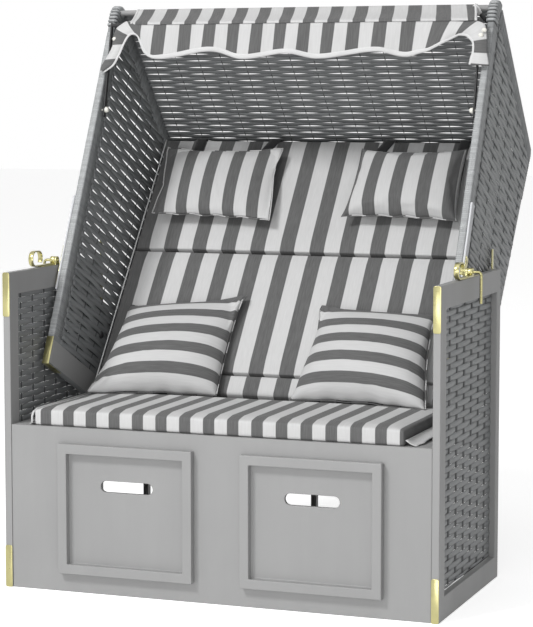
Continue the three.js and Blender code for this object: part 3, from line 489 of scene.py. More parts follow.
# Geometry Nodes
class Grower(Nodes):
    # One Geometry Nodes tree that takes a mesh and named values

    def __init__(self, name, values):
        super().__init__(bpy.data.node_groups.new(name, "GeometryNodeTree"))
        sockets = self.tree.interface
        sockets.new_socket("Geometry", in_out="INPUT", socket_type="NodeSocketGeometry")
        sockets.new_socket("Geometry", in_out="OUTPUT", socket_type="NodeSocketGeometry")
        for kind, names in values.items():
            for each in names:
                sockets.new_socket(each, in_out="INPUT", socket_type="NodeSocket" + kind)
        self.start = self.tree.nodes.new("NodeGroupInput")
        self.end = self.tree.nodes.new("NodeGroupOutput")

    def given(self, name):
        return Signal(self.tree, self.start.outputs[name])

    def named(self, name):
        return self.node("GeometryNodeInputNamedAttribute", Name=name)

    def store(self, geometry, name, value):
        return self.node("GeometryNodeStoreNamedAttribute", Geometry=geometry, Name=name, Value=value)

    def chance(self, **inputs):
        return self.node("FunctionNodeRandomValue", None, 1, **inputs)

    def realized(self, geometry):
        return self.node("GeometryNodeRealizeInstances", Geometry=geometry)

    def copies(self, points, instance, **inputs):
        made = self.node("GeometryNodeInstanceOnPoints", Points=points, Instance=instance, **inputs)
        return self.realized(made)

    def dressed(self, geometry, finish):
        return self.node("GeometryNodeSetMaterial", Geometry=geometry, Material=finish)

    def ended(self, geometry):
        self.tree.links.new(geometry.socket, self.end.inputs[0])
        return self.tree


def growOn(piece, tree, values):
    modifier = piece.modifiers.new("grow", "NODES")
    modifier.node_group = tree
    for item in tree.interface.items_tree:
        if item.item_type == "SOCKET" and item.in_out == "INPUT" and item.name in values:
            modifier[item.identifier] = values[item.name]


# Woven panels
weaveBuild = {
    "steepness": 1.5,  # how fast a strand crosses from over to under
    "slack": 0.00006,  # what a row leaves free beside the next
    "crown": 0.0006,
    "stakeLift": 0.0005,
    "stakeRows": 60,
    "trim": 0.0015,
    "seed": 5,
}


def weaveTree():
    # Strands along X over stakes along Y, laid over a flat outline and trimmed to it
    grow = Grower("weave over stakes", {
        "Float": ["stakePitch", "rowPitch", "stakeShift", "depth", "largeGap", "smallGap", "largeReach",
                  "smallReach", "stakeWidth"],
        "Vector": ["low", "high"], "Int": ["rows", "stakes", "steps"], "Material": ["strand", "stake"]})
    given, vector, build = grow.given, grow.vector, weaveBuild
    lowX, lowY = grow.axes(given("low"))[:2]
    highX, highY = grow.axes(given("high"))[:2]
    rowPitch, stakePitch, shift = given("rowPitch"), given("stakePitch"), given("stakeShift")
    x, y = grow.axes(grow.node("GeometryNodeInputPosition"))[:2]

    strand = grow.node("GeometryNodeMeshGrid", i0=highX - lowX, i1=rowPitch, i2=given("steps"), i3=3)
    strand = grow.store(strand, "across", y / (rowPitch * 0.5))
    first = vector((lowX + highX) * 0.5, lowY + rowPitch * 0.5)
    line = grow.node("GeometryNodeMeshLine", i0=given("rows"), i2=first, i3=vector(0.0, rowPitch))
    index = grow.node("GeometryNodeInputIndex")
    line = grow.store(line, "row", index)
    line = grow.store(line, "shade", grow.chance(ID=index, Seed=build["seed"]))
    strands = grow.copies(line, strand)

    row, side = grow.named("row"), grow.named("across")
    phase = (x - shift) / stakePitch
    over = ((phase + row) * math.pi).math("COSINE") * build["steepness"]
    over = over.math("MINIMUM", 1.0).math("MAXIMUM", -1.0)
    gapRow = row + (side * 0.5 - 0.5).math("CEIL")
    apart = (phase + gapRow).math("WRAP", 1.0, -1.0).math("ABSOLUTE") * stakePitch
    odd = gapRow.math("MODULO", 2.0).math("ABSOLUTE").math("GREATER_THAN", 0.5)
    reach = given("largeReach") * (1.0 - odd) + given("smallReach") * odd
    most = given("largeGap") * (1.0 - odd) + given("smallGap") * odd
    lens = (1.0 - apart / reach).math("MAXIMUM", 0.0) * most
    aside = side * lens * -1.0 - side * build["slack"]
    bent = vector(0.0, aside, over * given("depth") + (1.0 - side * side) * build["crown"])
    strands = grow.node("GeometryNodeSetPosition", Geometry=strands, Offset=bent)

    # the stakes take the near-black finish: painted shade in the slits where strands pass behind them
    width, rows = given("stakeWidth"), build["stakeRows"]
    stake = grow.node("GeometryNodeMeshGrid", i0=width, i1=highY - lowY, i2=2, i3=rows)
    first = vector(shift, (lowY + highY) * 0.5, build["stakeLift"])
    line = grow.node("GeometryNodeMeshLine", i0=given("stakes"), i2=first, i3=vector(stakePitch))
    stakes = grow.dressed(grow.copies(line, stake), given("stake"))
    both = grow.node("GeometryNodeJoinGeometry", i0=grow.dressed(strands, given("strand")))
    grow.tree.links.new(stakes.socket, both.socket.node.inputs[0])

    # what lies off the outline is cut away
    off = grow.node("GeometryNodeProximity", None, 1, i0=given("Geometry"), i2=vector(x, y))
    off = off.math("GREATER_THAN", build["trim"])
    return grow.ended(grow.realized(grow.node("GeometryNodeDeleteGeometry", Geometry=both, Selection=off)))


weave = weaveTree()
roofWeave = {
    "stakePitch": 0.071, "rowPitch": 0.01265, "stakeShift": -0.5055, "depth": 0.0007, "largeGap": 0.0016,
    "smallGap": 0.0009, "largeReach": 0.056, "smallReach": 0.026, "step": 0.0089, "thickness": 0.0009,
    "stakeWidth": 0.0022, "rowShift": 0.0,
}
hoodSideWeave = {
    "stakePitch": 0.102, "rowPitch": 0.0161, "stakeShift": 0.147, "depth": 0.001, "largeGap": 0.0023,
    "smallGap": 0.0019, "largeReach": 0.05, "smallReach": 0.046, "step": 0.0085, "thickness": 0.0009,
    "stakeWidth": 0.004, "rowShift": 0.0,
}
lowerSideWeave = {
    "stakePitch": 0.0695, "rowPitch": 0.0152, "stakeShift": -0.0905, "depth": 0.0008, "largeGap": 0.0008,
    "smallGap": 0.0008, "largeReach": 0.016, "smallReach": 0.016, "step": 0.0058, "thickness": 0.0007,
    "rowShift": 0.0184, "left": {"stakeWidth": 0.007}, "right": {"stakeWidth": 0.017},
}
panelOutlines = {
    "hoodOpening": [
        (0.062, 0.07), (0.209, 0.07), (0.209, 0.25), (0.36022, 0.25), (0.494, 0.835), (0.062, 1.015)],
    "hood": [(0.045, 0.068), (0.352, 0.068), (0.520, 0.845), (0.045, 1.036)],
    "lower": [(-0.4574, 0.06), (0.0356, 0.06), (0.0356, 0.792), (-0.4574, 0.792)],
    "roof": [(-0.5477, 0.0233), (0.5477, 0.0233), (0.5477, 0.5505), (-0.5477, 0.5505)],
    "back": [(-0.5477, 0.022), (0.5477, 0.022), (0.5477, 0.8884), (-0.5477, 0.8884)],
}
panelMiddle = {"underRoof": 0.011, "beforeRear": 0.007, "lowerSide": 0.583, "hoodSideProud": 0.0017}


def addPanel(name, outline, settings, place, turned, body, node):
    # outline is in the panel's own plane; place turns its x, y and height into a point of the chair
    piece = placed(name, meshOf([(a, b, 0) for a, b in outline], [range(len(outline))]), finishes["strand"])
    low, high = np.min(outline, 0), np.max(outline, 0)
    low[1] -= settings["rowShift"]
    pitch, shift = settings["stakePitch"], settings["stakeShift"]
    before = math.ceil((low[0] - shift) / pitch)
    growOn(piece, weave, {
        **settings, "stakeShift": shift + before * pitch, "low": (*low, 0), "high": (*high, 0),
        "rows": max(1, math.ceil((high[1] - low[1]) / settings["rowPitch"])),
        "stakes": math.floor((high[0] - shift) / pitch) - before + 1,
        "steps": int((high[0] - low[0]) / settings["step"]) + 1,
        "strand": finishes["strand"], "stake": finishes["stake"]})
    wall = piece.modifiers.new("wall", "SOLIDIFY")
    wall.thickness, wall.offset = settings["thickness"], 0
    mesh = evaluatedMesh(piece)
    setCoordinates(mesh, place(*coordinates(mesh).T))
    if turned:
        mesh.flip_normals()
    settled(placed(name, mesh), body, "wicker", node)


def makePanels():
    def onRoof(x, along, out):
        return slopePoint("roof", x, along, out - panelMiddle["underRoof"])

    def onRear(x, along, out):
        return slopePoint("rear", x, along, panelMiddle["beforeRear"] - out)

    addPanel("roof_weave", panelOutlines["roof"], roofWeave, onRoof, False, "hood", "roof_wicker")
    addPanel("back_weave", panelOutlines["back"], roofWeave, onRear, True, "hood", "back_wicker")
    # woven on the face that is seen from the front: the left side's inner one, the right side's outer one
    proud = panelMiddle["hoodSideProud"]
    walls = {"left": hoodPlace["inner"] - proud, "right": hoodPlace["half"] + proud}
    for hand, side in hands:
        addPanel(
            f"hood_side_weave_{hand}", panelOutlines["hood"], hoodSideWeave,
            lambda a, b, out: hoodPoint(side * (walls[hand] + out), a, b), side < 0,
            "hood", f"hood_side_wicker_{hand}")
        addPanel(
            f"side_weave_{hand}", panelOutlines["lower"], {**lowerSideWeave, **lowerSideWeave[hand]},
            lambda a, b, out: np.stack((side * (panelMiddle["lowerSide"] + out), a, b), -1), side < 0,
            "lower_box", f"side_wicker_{hand}")


makePanels()
print("panels are woven")


# Hood sides: boards with round edges, wound with strand
hoodSides = {
    # depth, height and setback of each corner; the tip's height follows from the roof's slope
    "foot": (0.344, 0.0, 0.040), "rear": (0.546, 0.882, 0.016), "tipRound": 0.064, "steps": 10,
    "thick": 0.020, "edgeRound": 0.0045, "openingRound": 0.003, "arc": 5, "sharp": math.radians(35),
    # plates on both faces, as depth and height: the foot painted; behind the lowest strands, a near-black
    # sheet of painted shade that shows dark between them
    "plates": {
        "foot": (0.0008, "paint", "painted_wood", [
            (0.0035, 0.0035), (0.325, 0.0035), (0.343, 0.068), (0.0035, 0.068)]),
        "heel": (0.0004, "stake", "wicker", [(0.207, 0.069), (0.349, 0.069), (0.385, 0.25), (0.207, 0.25)]),
    },
}
wraps = {  # start and stop are shares of the path's length
    "stile_wrap": {"path": "front", "pitch": 0.00537, "width": 0.0052, "proud": 0.0007, "reach": 0.046,
                   "start": 0.045, "stop": 0.918, "askew": 0.012, "seed": 1, "finish": "wrap"},
    "roof_edge_wrap": {"path": "roof", "pitch": 0.0076, "width": 0.0071, "proud": 0.0026, "reach": 0.060,
                       "start": 0.0, "stop": 1.0, "askew": 0.09, "seed": 3, "finish": "wrapDark"},
    "rear_edge_wrap": {"path": "rear", "pitch": 0.0088, "width": 0.008, "proud": 0.0014, "reach": 0.03,
                       "start": 0.8, "stop": 1.0, "askew": 0.22, "seed": 4, "finish": "wrapDark"},
    "tip_coil": {"path": "tip", "pitch": 0.0112, "width": 0.0080, "proud": 0.0045, "reach": 0.028,
                 "start": 0.0, "stop": 1.0, "askew": 0.03, "seed": 6, "finish": "wrap"},
    # near-black strips between the coil's rings: painted shade in the gaps
    "tip_coil_gap": {"path": "tip", "pitch": 0.0112, "width": 0.0052, "proud": 0.0012, "reach": 0.03,
                     "start": 0.0, "stop": 1.0, "askew": 0.0, "seed": 7, "finish": "stake", "uneven": 0.0,
                     "shift": 0.0056},
}
wrapUneven = 0.18


def roundedOutline(corners, steps):
    # corners are (depth, height, setback); a round corner is a curve between the setbacks
    points = []
    for i, (a, b, back) in enumerate(corners):
        corner = np.array((a, b))
        before, after = np.array(corners[i - 1][:2]), np.array(corners[(i + 1) % len(corners)][:2])
        start, end = corner + unit(before - corner) * back, corner + unit(after - corner) * back
        for t in np.linspace(0, 1, steps + 1) if back else [0]:
            points.append((1 - t) ** 2 * start + 2 * t * (1 - t) * corner + t * t * end)
    return np.array(points)


def inwardMitres(outline):
    # For a counter-clockwise loop, the way each corner moves when its edges move in by one
    sums = unit(outline - np.roll(outline, 1, 0)) + unit(np.roll(outline, -1, 0) - outline)
    normals = np.stack((-sums[:, 1], sums[:, 0]), -1) / 2
    return normals / (normals ** 2).sum(1)[:, None]


def hoodOutline():
    (depth, height), lean = hoodPlace["roof"]
    tip = (0.0, height - depth / math.tan(lean), hoodSides["tipRound"])
    return roundedOutline([(0.0, 0.0, 0), hoodSides["foot"], hoodSides["rear"], tip], hoodSides["steps"])


def hoodSideBoard(hand, side):
    outer, opening = hoodOutline(), np.array(panelOutlines["hoodOpening"])
    turns = np.radians(np.linspace(0, 90, hoodSides["arc"]))
    shape = bmesh.new()
    faceLoops = [[], []]
    for outline, mitres, rounding in (
            (outer, inwardMitres(outer), hoodSides["edgeRound"]),
            (opening, -inwardMitres(opening), hoodSides["openingRound"])):
        # loops from the inner face over the rounded edge to the outer face
        loops = []
        for k, turn in enumerate((*turns, *turns[::-1])):
            deep = rounding * (1 - math.cos(turn))
            deep = deep if k < len(turns) else hoodSides["thick"] - deep
            ring = outline + mitres * rounding * (1 - math.sin(turn))
            points = hoodPoint(side * (hoodPlace["inner"] + deep), *ring.T)
            loops.append([shape.verts.new(tuple(p)) for p in points])
        for low, high in zip(loops[:-1], loops[1:]):
            for i in range(len(low)):
                j = (i + 1) % len(low)
                shape.faces.new((low[i], low[j], high[j], high[i]))
        for store, loop in zip(faceLoops, (loops[0], loops[-1])):
            store.extend(shape.edges.get((loop[i], loop[(i + 1) % len(loop)])) for i in range(len(loop)))
    for edges in faceLoops:
        bmesh.ops.triangle_fill(shape, edges=edges, use_beauty=True)
    bmesh.ops.recalc_face_normals(shape, faces=shape.faces)
    mesh = bpy.data.meshes.new("board")
    shape.to_mesh(mesh)
    shape.free()
    piece = placed(f"hood_board_{hand}", mesh, finishes["sidePaint"])
    for polygon in mesh.polygons:
        polygon.use_smooth = len(polygon.vertices) == 4
    mesh.set_sharp_from_angle(angle=hoodSides["sharp"])
    for part, (proud, finish, slot, outline) in hoodSides["plates"].items():
        walls = (hoodPlace["inner"] - proud, hoodPlace["half"] + proud)
        corners = [hoodPoint(side * wall, a, b) for wall in walls for a, b in outline]
        faces = [(0, 1, 2, 3), (7, 6, 5, 4)] + [(k, 4 + k, 4 + (k + 1) % 4, (k + 1) % 4) for k in range(4)]
        plate = placed(f"hood_{part}_plate_{hand}", cleaned(meshOf(corners, faces)), finishes[finish], False)
        settled(plate, "hood", slot)
    settled(piece, "hood", "painted_wood", f"hood_side_{hand}")


def wrapStrip(settings):
    # A strand bent over the edge of a board: X through the board, Y out of the edge, Z along it
    def section(over, bend):
        half = hoodSides["thick"] / 2 + over
        turns = np.radians(np.linspace(0, 90, 5))
        corner = np.stack((half - bend + bend * np.sin(turns), over - bend + bend * np.cos(turns)), -1)
        leg = np.array([(half, -settings["reach"] * 0.4), (half, -settings["reach"])])
        right = np.vstack((corner, leg))
        return np.vstack((right[::-1] * (-1, 1), right))

    bend, width, sunk = hoodSides["edgeRound"] + settings["proud"], settings["width"] / 2, 0.0006
    outer, inner = section(settings["proud"], bend), section(-sunk, hoodSides["edgeRound"] - sunk)
    shoulder = outer * 0.65 + inner * 0.35
    rows = ((inner, -width), (shoulder, -width * 0.94), (outer, -width * 0.5), (outer, width * 0.5),
            (shoulder, width * 0.94), (inner, width))
    count = len(outer)
    index = np.arange(len(rows) * count).reshape(-1, count)
    around = np.vstack((index, index[:1]))
    faces = [*squares(around)[:, ::-1], index[:, 0], index[::-1, -1]]
    mesh = meshOf([(x, y, z) for points, z in rows for x, y in points], faces)
    # the part over the edge, which takes the painted highlight
    litEdgeMask = (np.abs(outer[:, 0]) < hoodSides["thick"] / 2 - bend * 0.25).astype(float)
    addAttribute(mesh, "edge", np.tile(litEdgeMask, len(rows)))
    return cleaned(mesh, 1e-5)


def wrapTree():
    # One strip on each point, turned by the point's own angle about X and a little askew
    grow = Grower("strips over an edge", {
        "Object": ["strip"], "Float": ["askew", "uneven"], "Int": ["seed"], "Material": ["finish"]})
    points = grow.node("GeometryNodeMeshToPoints", Mesh=grow.given("Geometry"))
    points = grow.store(points, "shade", grow.chance(Seed=grow.given("seed")))
    askew = grow.vector(0.0, grow.chance(i2=-1.0, i3=1.0, Seed=11) * grow.given("askew"))
    facing = grow.vector(grow.named("turn"))
    turned = grow.node("FunctionNodeRotateRotation", {"rotation_space": "LOCAL"}, i0=facing, i1=askew)
    size = grow.vector(1.0, grow.chance(i2=-1.0, i3=0.35, Seed=23) * grow.given("uneven") + 1.0, 1.0)
    strip = grow.node("GeometryNodeObjectInfo", None, 4, Object=grow.given("strip"))
    wound = grow.copies(points, strip, Rotation=turned, Scale=size)
    return grow.ended(grow.dressed(wound, grow.given("finish")))


winding = wrapTree()


def windAlong(name, path, settings, side):
    # path runs counter-clockwise round the board, so its edge faces right of the way ahead
    lengths = np.concatenate(((0,), np.cumsum(np.linalg.norm(np.diff(path, axis=0), axis=1))))
    places = np.arange(settings["start"] * lengths[-1], settings["stop"] * lengths[-1], settings["pitch"])

    def at(where):
        return np.stack([np.interp(where, lengths, path[:, k]) for k in (0, 1)], -1)

    ahead = unit(at(places + 0.001) - at(places - 0.001))
    middle = side * (hoodPlace["inner"] + hoodSides["thick"] / 2)
    mesh = meshOf(hoodPoint(middle, *(at(places) + ahead * settings.get("shift", 0.0)).T))
    outward = hoodPoint(0.0, ahead[:, 1], -ahead[:, 0]) - hoodPoint(0.0, 0.0, 0.0)
    addAttribute(mesh, "turn", np.arctan2(outward[:, 2], outward[:, 1]))
    finish = finishes[settings["finish"]]
    strip = placed("strip", wrapStrip(settings), finish)
    piece = placed(name, mesh, finish)
    growOn(piece, winding, {"uneven": wrapUneven, **settings, "strip": strip, "finish": finish})
    made = evaluatedMesh(piece)
    bpy.data.objects.remove(strip)
    settled(placed(name, made, finish), "hood", "wicker")


def windHoodSides():
    outline = hoodOutline()
    steps = hoodSides["steps"] + 1
    foot, rear, tip = outline[1:1 + steps], outline[1 + steps:1 + 2 * steps], outline[1 + 2 * steps:]
    paths = {
        "front": np.vstack((tip[-1:], outline[:1])),
        "roof": np.vstack((rear[-1:], tip[:1])),
        "rear": np.vstack((foot[-1:], rear)),
        "tip": np.vstack((tip[2:], tip[-1:] - (0.0, 0.03))),
    }
    for hand, side in hands:
        for name, settings in wraps.items():
            windAlong(f"{name}_{hand}", paths[settings["path"]], settings, side)


for hand, side in hands:
    hoodSideBoard(hand, side)
windHoodSides()
print("hood sides are wound")


# Soft pieces
clothWork = {"frames": 20, "pressure": 4.0, "cell": 0.009, "quickCells": 1.6, "quality": 4, "mass": 0.2}


def swell(mesh, cap, pressure):
    # Blows a closed form up by cloth pressure and keeps each point within cap of where it was
    piece = placed("swelling", mesh, finishes["piping"])
    start = coordinates(mesh)
    scene = bpy.context.scene
    cloth = piece.modifiers.new("cloth", "CLOTH")
    cloth.settings.quality = clothWork["quality"]
    cloth.settings.mass = clothWork["mass"]
    cloth.settings.use_pressure = True
    cloth.settings.uniform_pressure_force = pressure
    cloth.settings.effector_weights.gravity = 0
    cloth.point_cache.frame_start, cloth.point_cache.frame_end = 1, clothWork["frames"]
    for step in range(1, clothWork["frames"] + 1):
        scene.frame_set(step)
    blown = evaluatedMesh(piece)
    moved = coordinates(blown) - start
    bpy.data.meshes.remove(blown)
    scene.frame_set(1)
    moved -= moved.mean(0)
    length = np.linalg.norm(moved, axis=1)[:, None]
    setCoordinates(mesh, start + moved * np.minimum(1, cap / np.maximum(length, 1e-9)))


def roundedBox(low, high, rounding, cell):
    # A box between two corners as small squares, with round edges
    low, high = np.array(low, float), np.array(high, float)
    steps = []
    for a, b in zip(low, high):
        near = rounding * (1 - np.cos(np.radians((0, 35, 65))))
        count = max(2, int(round((b - a - 2 * rounding) / cell)) + 1)
        between = np.linspace(a + rounding, b - rounding, count)
        steps.append(np.concatenate((a + near, between, (b - near)[::-1])))
    vertices, faces = [], []
    for axis in range(3):
        first, second = [k for k in range(3) if k != axis]
        u, v = np.meshgrid(steps[first], steps[second], indexing="ij")
        for level in (low[axis], high[axis]):
            points = np.empty((u.size, 3))
            points[:, first], points[:, second], points[:, axis] = u.ravel(), v.ravel(), level
            faces.append(squares(np.arange(u.size).reshape(u.shape)) + sum(len(block) for block in vertices))
            vertices.append(points)
    points = np.concatenate(vertices)
    core = np.clip(points, low + rounding, high - rounding)
    out = points - core
    points = core + out / np.maximum(np.linalg.norm(out, axis=1), 1e-9)[:, None] * rounding
    return cleaned(meshOf(points, np.concatenate(faces)), 1e-5)


def addPad(name, settings, place, low, high, limits, body, node):
    # A boxed cushion, made flat in its own x, length and thickness, then put where place says
    cell = clothWork["cell"] * 1.0
    mesh = roundedBox(low, high, settings["edgeRound"], cell)
    addAttribute(mesh, "stripe", coordinates(mesh)[:, 0])
    swell(mesh, settings["cap"], clothWork["pressure"])
    points = coordinates(mesh)
    middle, half = (np.array(low) + np.array(high)) / 2, (np.array(high) - np.array(low)) / 2
    s, t, upper = np.clip((points - middle) / half, -1, 1).T
    points[:, 2] += (upper + 1) / 2 * settings["crown"] * (1 - s ** 8) * (1 - t ** settings["crownPower"])
    setCoordinates(mesh, place(*np.clip(points, *limits).T))
    piece = placed(name, mesh, stripedFinish(name + " canvas", settings))
    settled(piece, body, "striped_fabric", node)


backPads = {
    "period": 0.09, "darkFrom": -0.44, "darkShare": 0.49, "edgeRound": 0.0035, "cap": 0.004, "crown": 0.004,
    "crownPower": 8, "fill": 0.8, "halfWidth": 0.529, "thick": 0.056, "face": -0.0045,
    "pieces": {"lower": (0.015, 0.0840), "middle": (0.0858, 0.4880), "upper": (0.4916, 0.8885)},
    "pipingRadius": 0.002, "strapWidth": 0.0165, "strapFrom": 0.80, "strapSquash": 0.09,
    # middle of each strap at the cushion's top, and how far it leans over its last 60 mm
    "straps": [(-0.413, 0.0), (-0.176, 0.03), (0.178, 0.03), (0.402, 0.004)], "leanLength": 0.06,
}
seatPad = {
    "period": 0.0665, "darkFrom": -0.434, "darkShare": 0.485, "edgeRound": 0.0065, "cap": 0.005,
    "crown": 0.006, "crownPower": 6, "fill": 0.8, "halfWidth": 0.518, "rightEnd": 0.509, "front": -0.5035,
    "rear": -0.1195,
    "floor": 0.4395, "thick": 0.042, "highest": 0.4885, "pipingRadius": 0.0028,
}


def makeBackPads():
    half, thick, face = backPads["halfWidth"], backPads["thick"], backPads["face"]
    for name, (foot, top) in backPads["pieces"].items():
        limits = ((-half - 0.001, foot, -thick - 0.001), (half + 0.001, top, 0.001))
        addPad(f"backrest_{name}", backPads, backPoint, (-half, foot, -thick), (half, top, face), limits,
               "hood", f"back_cushion_{name}")
    top = backPads["pieces"]["upper"][1]
    along = np.linspace(backPads["pieces"]["lower"][0], top - 0.002, 40)
    for hand, side in hands:
        path = backPoint(side * (half + 0.0005), along, face + 0.001)
        piping = tubeMesh(path, backPads["pipingRadius"])
        added(f"backrest_piping_{hand}", piping, "piping", "hood", "striped_fabric")
    # down the face, over the top and a little way down behind
    line = [(backPads["strapFrom"], 0.0025), (0.84, 0.0025), (top - 0.004, 0.0015), (top + 0.0015, -0.003),
            (top + 0.002, -0.03), (top + 0.001, -thick + 0.002), (top - 0.02, -thick - 0.002)]
    for number, (x, lean) in enumerate(backPads["straps"], 1):
        path = [backPoint(x + lean * (min(a, top) - top) / backPads["leanLength"], a, out) for a, out in line]
        strap = tubeMesh(path, backPads["strapWidth"], 8, squash=backPads["strapSquash"], across=(1, 0, 0))
        added(f"backrest_strap_{number}", strap, "strap", "hood", "striped_fabric")


# The cushion's lining splays out over the board beside it: from where, how far out and how high it starts
lining = {
    "columns": 44, "rows": 6, "thick": 0.0014, "jag": 0.003, "belly": 0.003, "lift": 0.0005,
    # it opens over its first part, to a share at the front, and there it is skewed back; behind, it rises
    "opening": 0.2, "frontShare": 0.75, "skew": 0.010, "rise": 0.012, "clear": 0.001,
    "left": (0.518, 0.018, 0.012), "right": (0.509, 0.0335, 0.016),
}


def makeLining(hand, side):
    edge, out, height = lining[hand]
    front, rear, floor = seatPad["front"], seatPad["rear"], seatPad["floor"]
    y = np.linspace(front + 0.002, rear, lining["columns"])[:, None]
    share = np.linspace(0, 1, lining["rows"])[None, :]
    away = np.clip((y - front) / lining["opening"], 0, 1)
    jags = randomSource.uniform(-1, 1, y.shape) * lining["jag"]
    x = edge + lining["lift"] + (out + jags) * share * np.clip(lining["frontShare"] + away, 0, 1)
    fall = floor + lining["clear"] + lining["rise"] * away
    z = (floor + height) * (1 - share) + fall * share - lining["belly"] * np.sin(math.pi * share)
    y = y + lining["skew"] * share * (1 - away)
    sheet = sheetMesh(np.stack(np.broadcast_arrays(side * x, y, z), -1))
    piece = thickened(f"bench_lining_{hand}", sheet, finishes["piping"], lining["thick"])
    settled(piece, "lower_box", "striped_fabric")


def makeSeatPad():
    left, right, floor = -seatPad["halfWidth"], seatPad["rightEnd"], seatPad["floor"]
    front, rear, top = seatPad["front"], seatPad["rear"], floor + seatPad["thick"]
    limits = ((left - 0.003, front - 0.002, floor), (right + 0.003, rear + 0.002, seatPad["highest"]))
    addPad("bench_cushion", seatPad, lambda *axes: np.stack(axes, -1), (left, front, floor + 0.001),
           (right, rear, top - 0.001), limits, "lower_box", "seat_cushion")
    path = [(left - 0.001, rear - 0.004, top - 0.002), (left - 0.001, front + 0.03, top - 0.002),
            (left - 0.001, front + 0.008, top - 0.007), (left - 0.002, front + 0.001, top - 0.018),
            (left - 0.002, front + 0.001, floor + 0.006)]
    added("bench_piping", tubeMesh(path, seatPad["pipingRadius"]), "piping", "lower_box", "striped_fabric")
    for hand, side in hands:
        makeLining(hand, side)


makeBackPads()
makeSeatPad()
print("bench and backrest are padded")


# Pillows
pillows = {
    "fullness": 0.48, "startShare": 0.86, "cell": 0.0062, "quickCells": 1.5, "pressure": 4.0,
    "seamRadius": 0.0016, "seamShift": 0.12,
}
throwPillows = {
    "thick": 0.135, "frontShare": 0.66, "sag": 0.24, "drawIn": 0.05, "cap": 0.012, "fill": 0.7,
    "across": False, "pucker": 0.003, "puckers": 3.4, "period": 0.0725, "darkShare": 0.5,
    "seatTop": 0.4886, "clear": 0.002,
    "squash": 0.68, "squashFront": -0.235,
    "left": {
        "darkFrom": -0.218,
        "corners": [
            (-0.486, -0.228, 0.490), (-0.137, -0.150, 0.490), (-0.133, 0.070, 0.746), (-0.492, 0.050, 0.717)],
    },
    "right": {
        "darkFrom": -0.194, "period": 0.0645,
        "corners": [
            (0.072, -0.150, 0.490), (0.467, -0.205, 0.489), (0.431, 0.050, 0.724), (0.095, 0.058, 0.728)],
    },
}
neckPillows = {
    "thick": 0.086, "frontShare": 0.52, "sag": 0.22, "drawIn": 0.04, "cap": 0.01, "fill": 0.75,
    "across": True, "pucker": 0.002, "puckers": 4.6, "darkShare": 0.49, "seamOut": 0.041,
    "seatTop": 0.0, "clear": 0.001,
    "left": {
        "period": 0.074, "darkFrom": -0.185,
        "corners": [(-0.483, 0.580), (-0.113, 0.566), (-0.125, 0.829), (-0.500, 0.827)],
    },
    "right": {
        "period": 0.0813, "darkFrom": -0.1935,
        "corners": [(0.093, 0.581), (0.447, 0.572), (0.435, 0.829), (0.103, 0.828)],
    },
}


def pillowMesh(corners, settings, columns, rows):
    # Two faces sewn along one seam between four corners; s and t run from -1 to 1 over both
    foot0, foot1, top1, top0 = (np.array(c, float) for c in corners)
    normal = unit(np.cross(top1 - foot0, top0 - foot1))
    s, t = np.meshgrid(np.linspace(-1, 1, columns + 1), np.linspace(-1, 1, rows + 1))
    draw = settings["drawIn"]
    p = (1 + s * (1 - draw * s * s * (1 - t * t)))[..., None] / 2
    q = (1 + t * (1 - draw * t * t * (1 - s * s)))[..., None] / 2
    seam = (foot0 * (1 - p) + foot1 * p) * (1 - q) + (top0 * (1 - p) + top1 * p) * q
    foot = np.clip(-t * 4 - 3, 0, 1)
    waves = np.sin(s * settings["puckers"] * math.pi) * (1 - s * s)
    seam[..., 2] += settings["pucker"] * (1 + waves * foot) * foot
    swollen = ((1 - s ** 2) * (1 - t ** 2)) ** settings["fullness"] * (1 - settings["sag"] * t)
    lift = (settings["thick"] * swollen * settings["startShare"])[..., None] * normal
    index = np.arange((columns + 1) * (rows + 1)).reshape(rows + 1, columns + 1)
    inside = np.zeros_like(index, bool)
    inside[1:-1, 1:-1] = True
    back = index.copy()
    back[inside] = index.size + np.arange(inside.sum())
    front = seam + settings["frontShare"] * lift
    rear = (seam - (1 - settings["frontShare"]) * lift)[inside]
    faces = []
    for one, other in zip(squares(index), squares(back)):
        faces += [one[[0, 3, 2, 1]], other]
    mesh = cleaned(meshOf(np.vstack((front.reshape(-1, 3), rear)), faces))
    ring = np.concatenate((index[0, :-1], index[:-1, -1], index[-1, :0:-1], index[:0:-1, 0]))
    lengthways = s if settings["across"] else t
    return mesh, np.concatenate((lengthways.ravel(), lengthways[inside])), ring


def makePillow(name, corners, settings, body, node):
    cell = settings["cell"] * 1.0
    width = np.linalg.norm(np.subtract(corners[1], corners[0]))
    height = np.linalg.norm(np.subtract(corners[3], corners[0]))
    mesh, share, ring = pillowMesh(corners, settings, int(width / cell), int(height / cell))
    length = share * (width if settings["across"] else height) / 2
    addAttribute(mesh, "stripe", length)
    swell(mesh, settings["cap"], settings["pressure"])
    # nothing goes into the backrest's face or the seat
    points = coordinates(mesh)
    foot = backPoint(0.0, 0.0, 0.0)
    out = backPoint(0.0, 0.0, 1.0) - foot
    points = points - np.minimum((points - foot) @ out - settings["clear"], 0)[:, None] * out
    points[:, 2] = np.maximum(points[:, 2], settings["seatTop"])
    setCoordinates(mesh, points)
    piece = placed(name, mesh, stripedFinish(name + " canvas", settings))
    soften = piece.modifiers.new("soften", "SUBSURF")
    soften.levels = soften.render_levels = 1
    settled(piece, body, "striped_fabric", node)
    tube = meshOf(*tubeMesh(points[ring], settings["seamRadius"], closed=True))
    addAttribute(tube, "stripe", np.repeat(length[ring], 6))
    shift = settings["period"] * settings["seamShift"]
    seam = placed(name + "_seam", tube, stripedFinish(name + " seam", settings, shift))
    settled(seam, body, "striped_fabric")
    return piece, seam


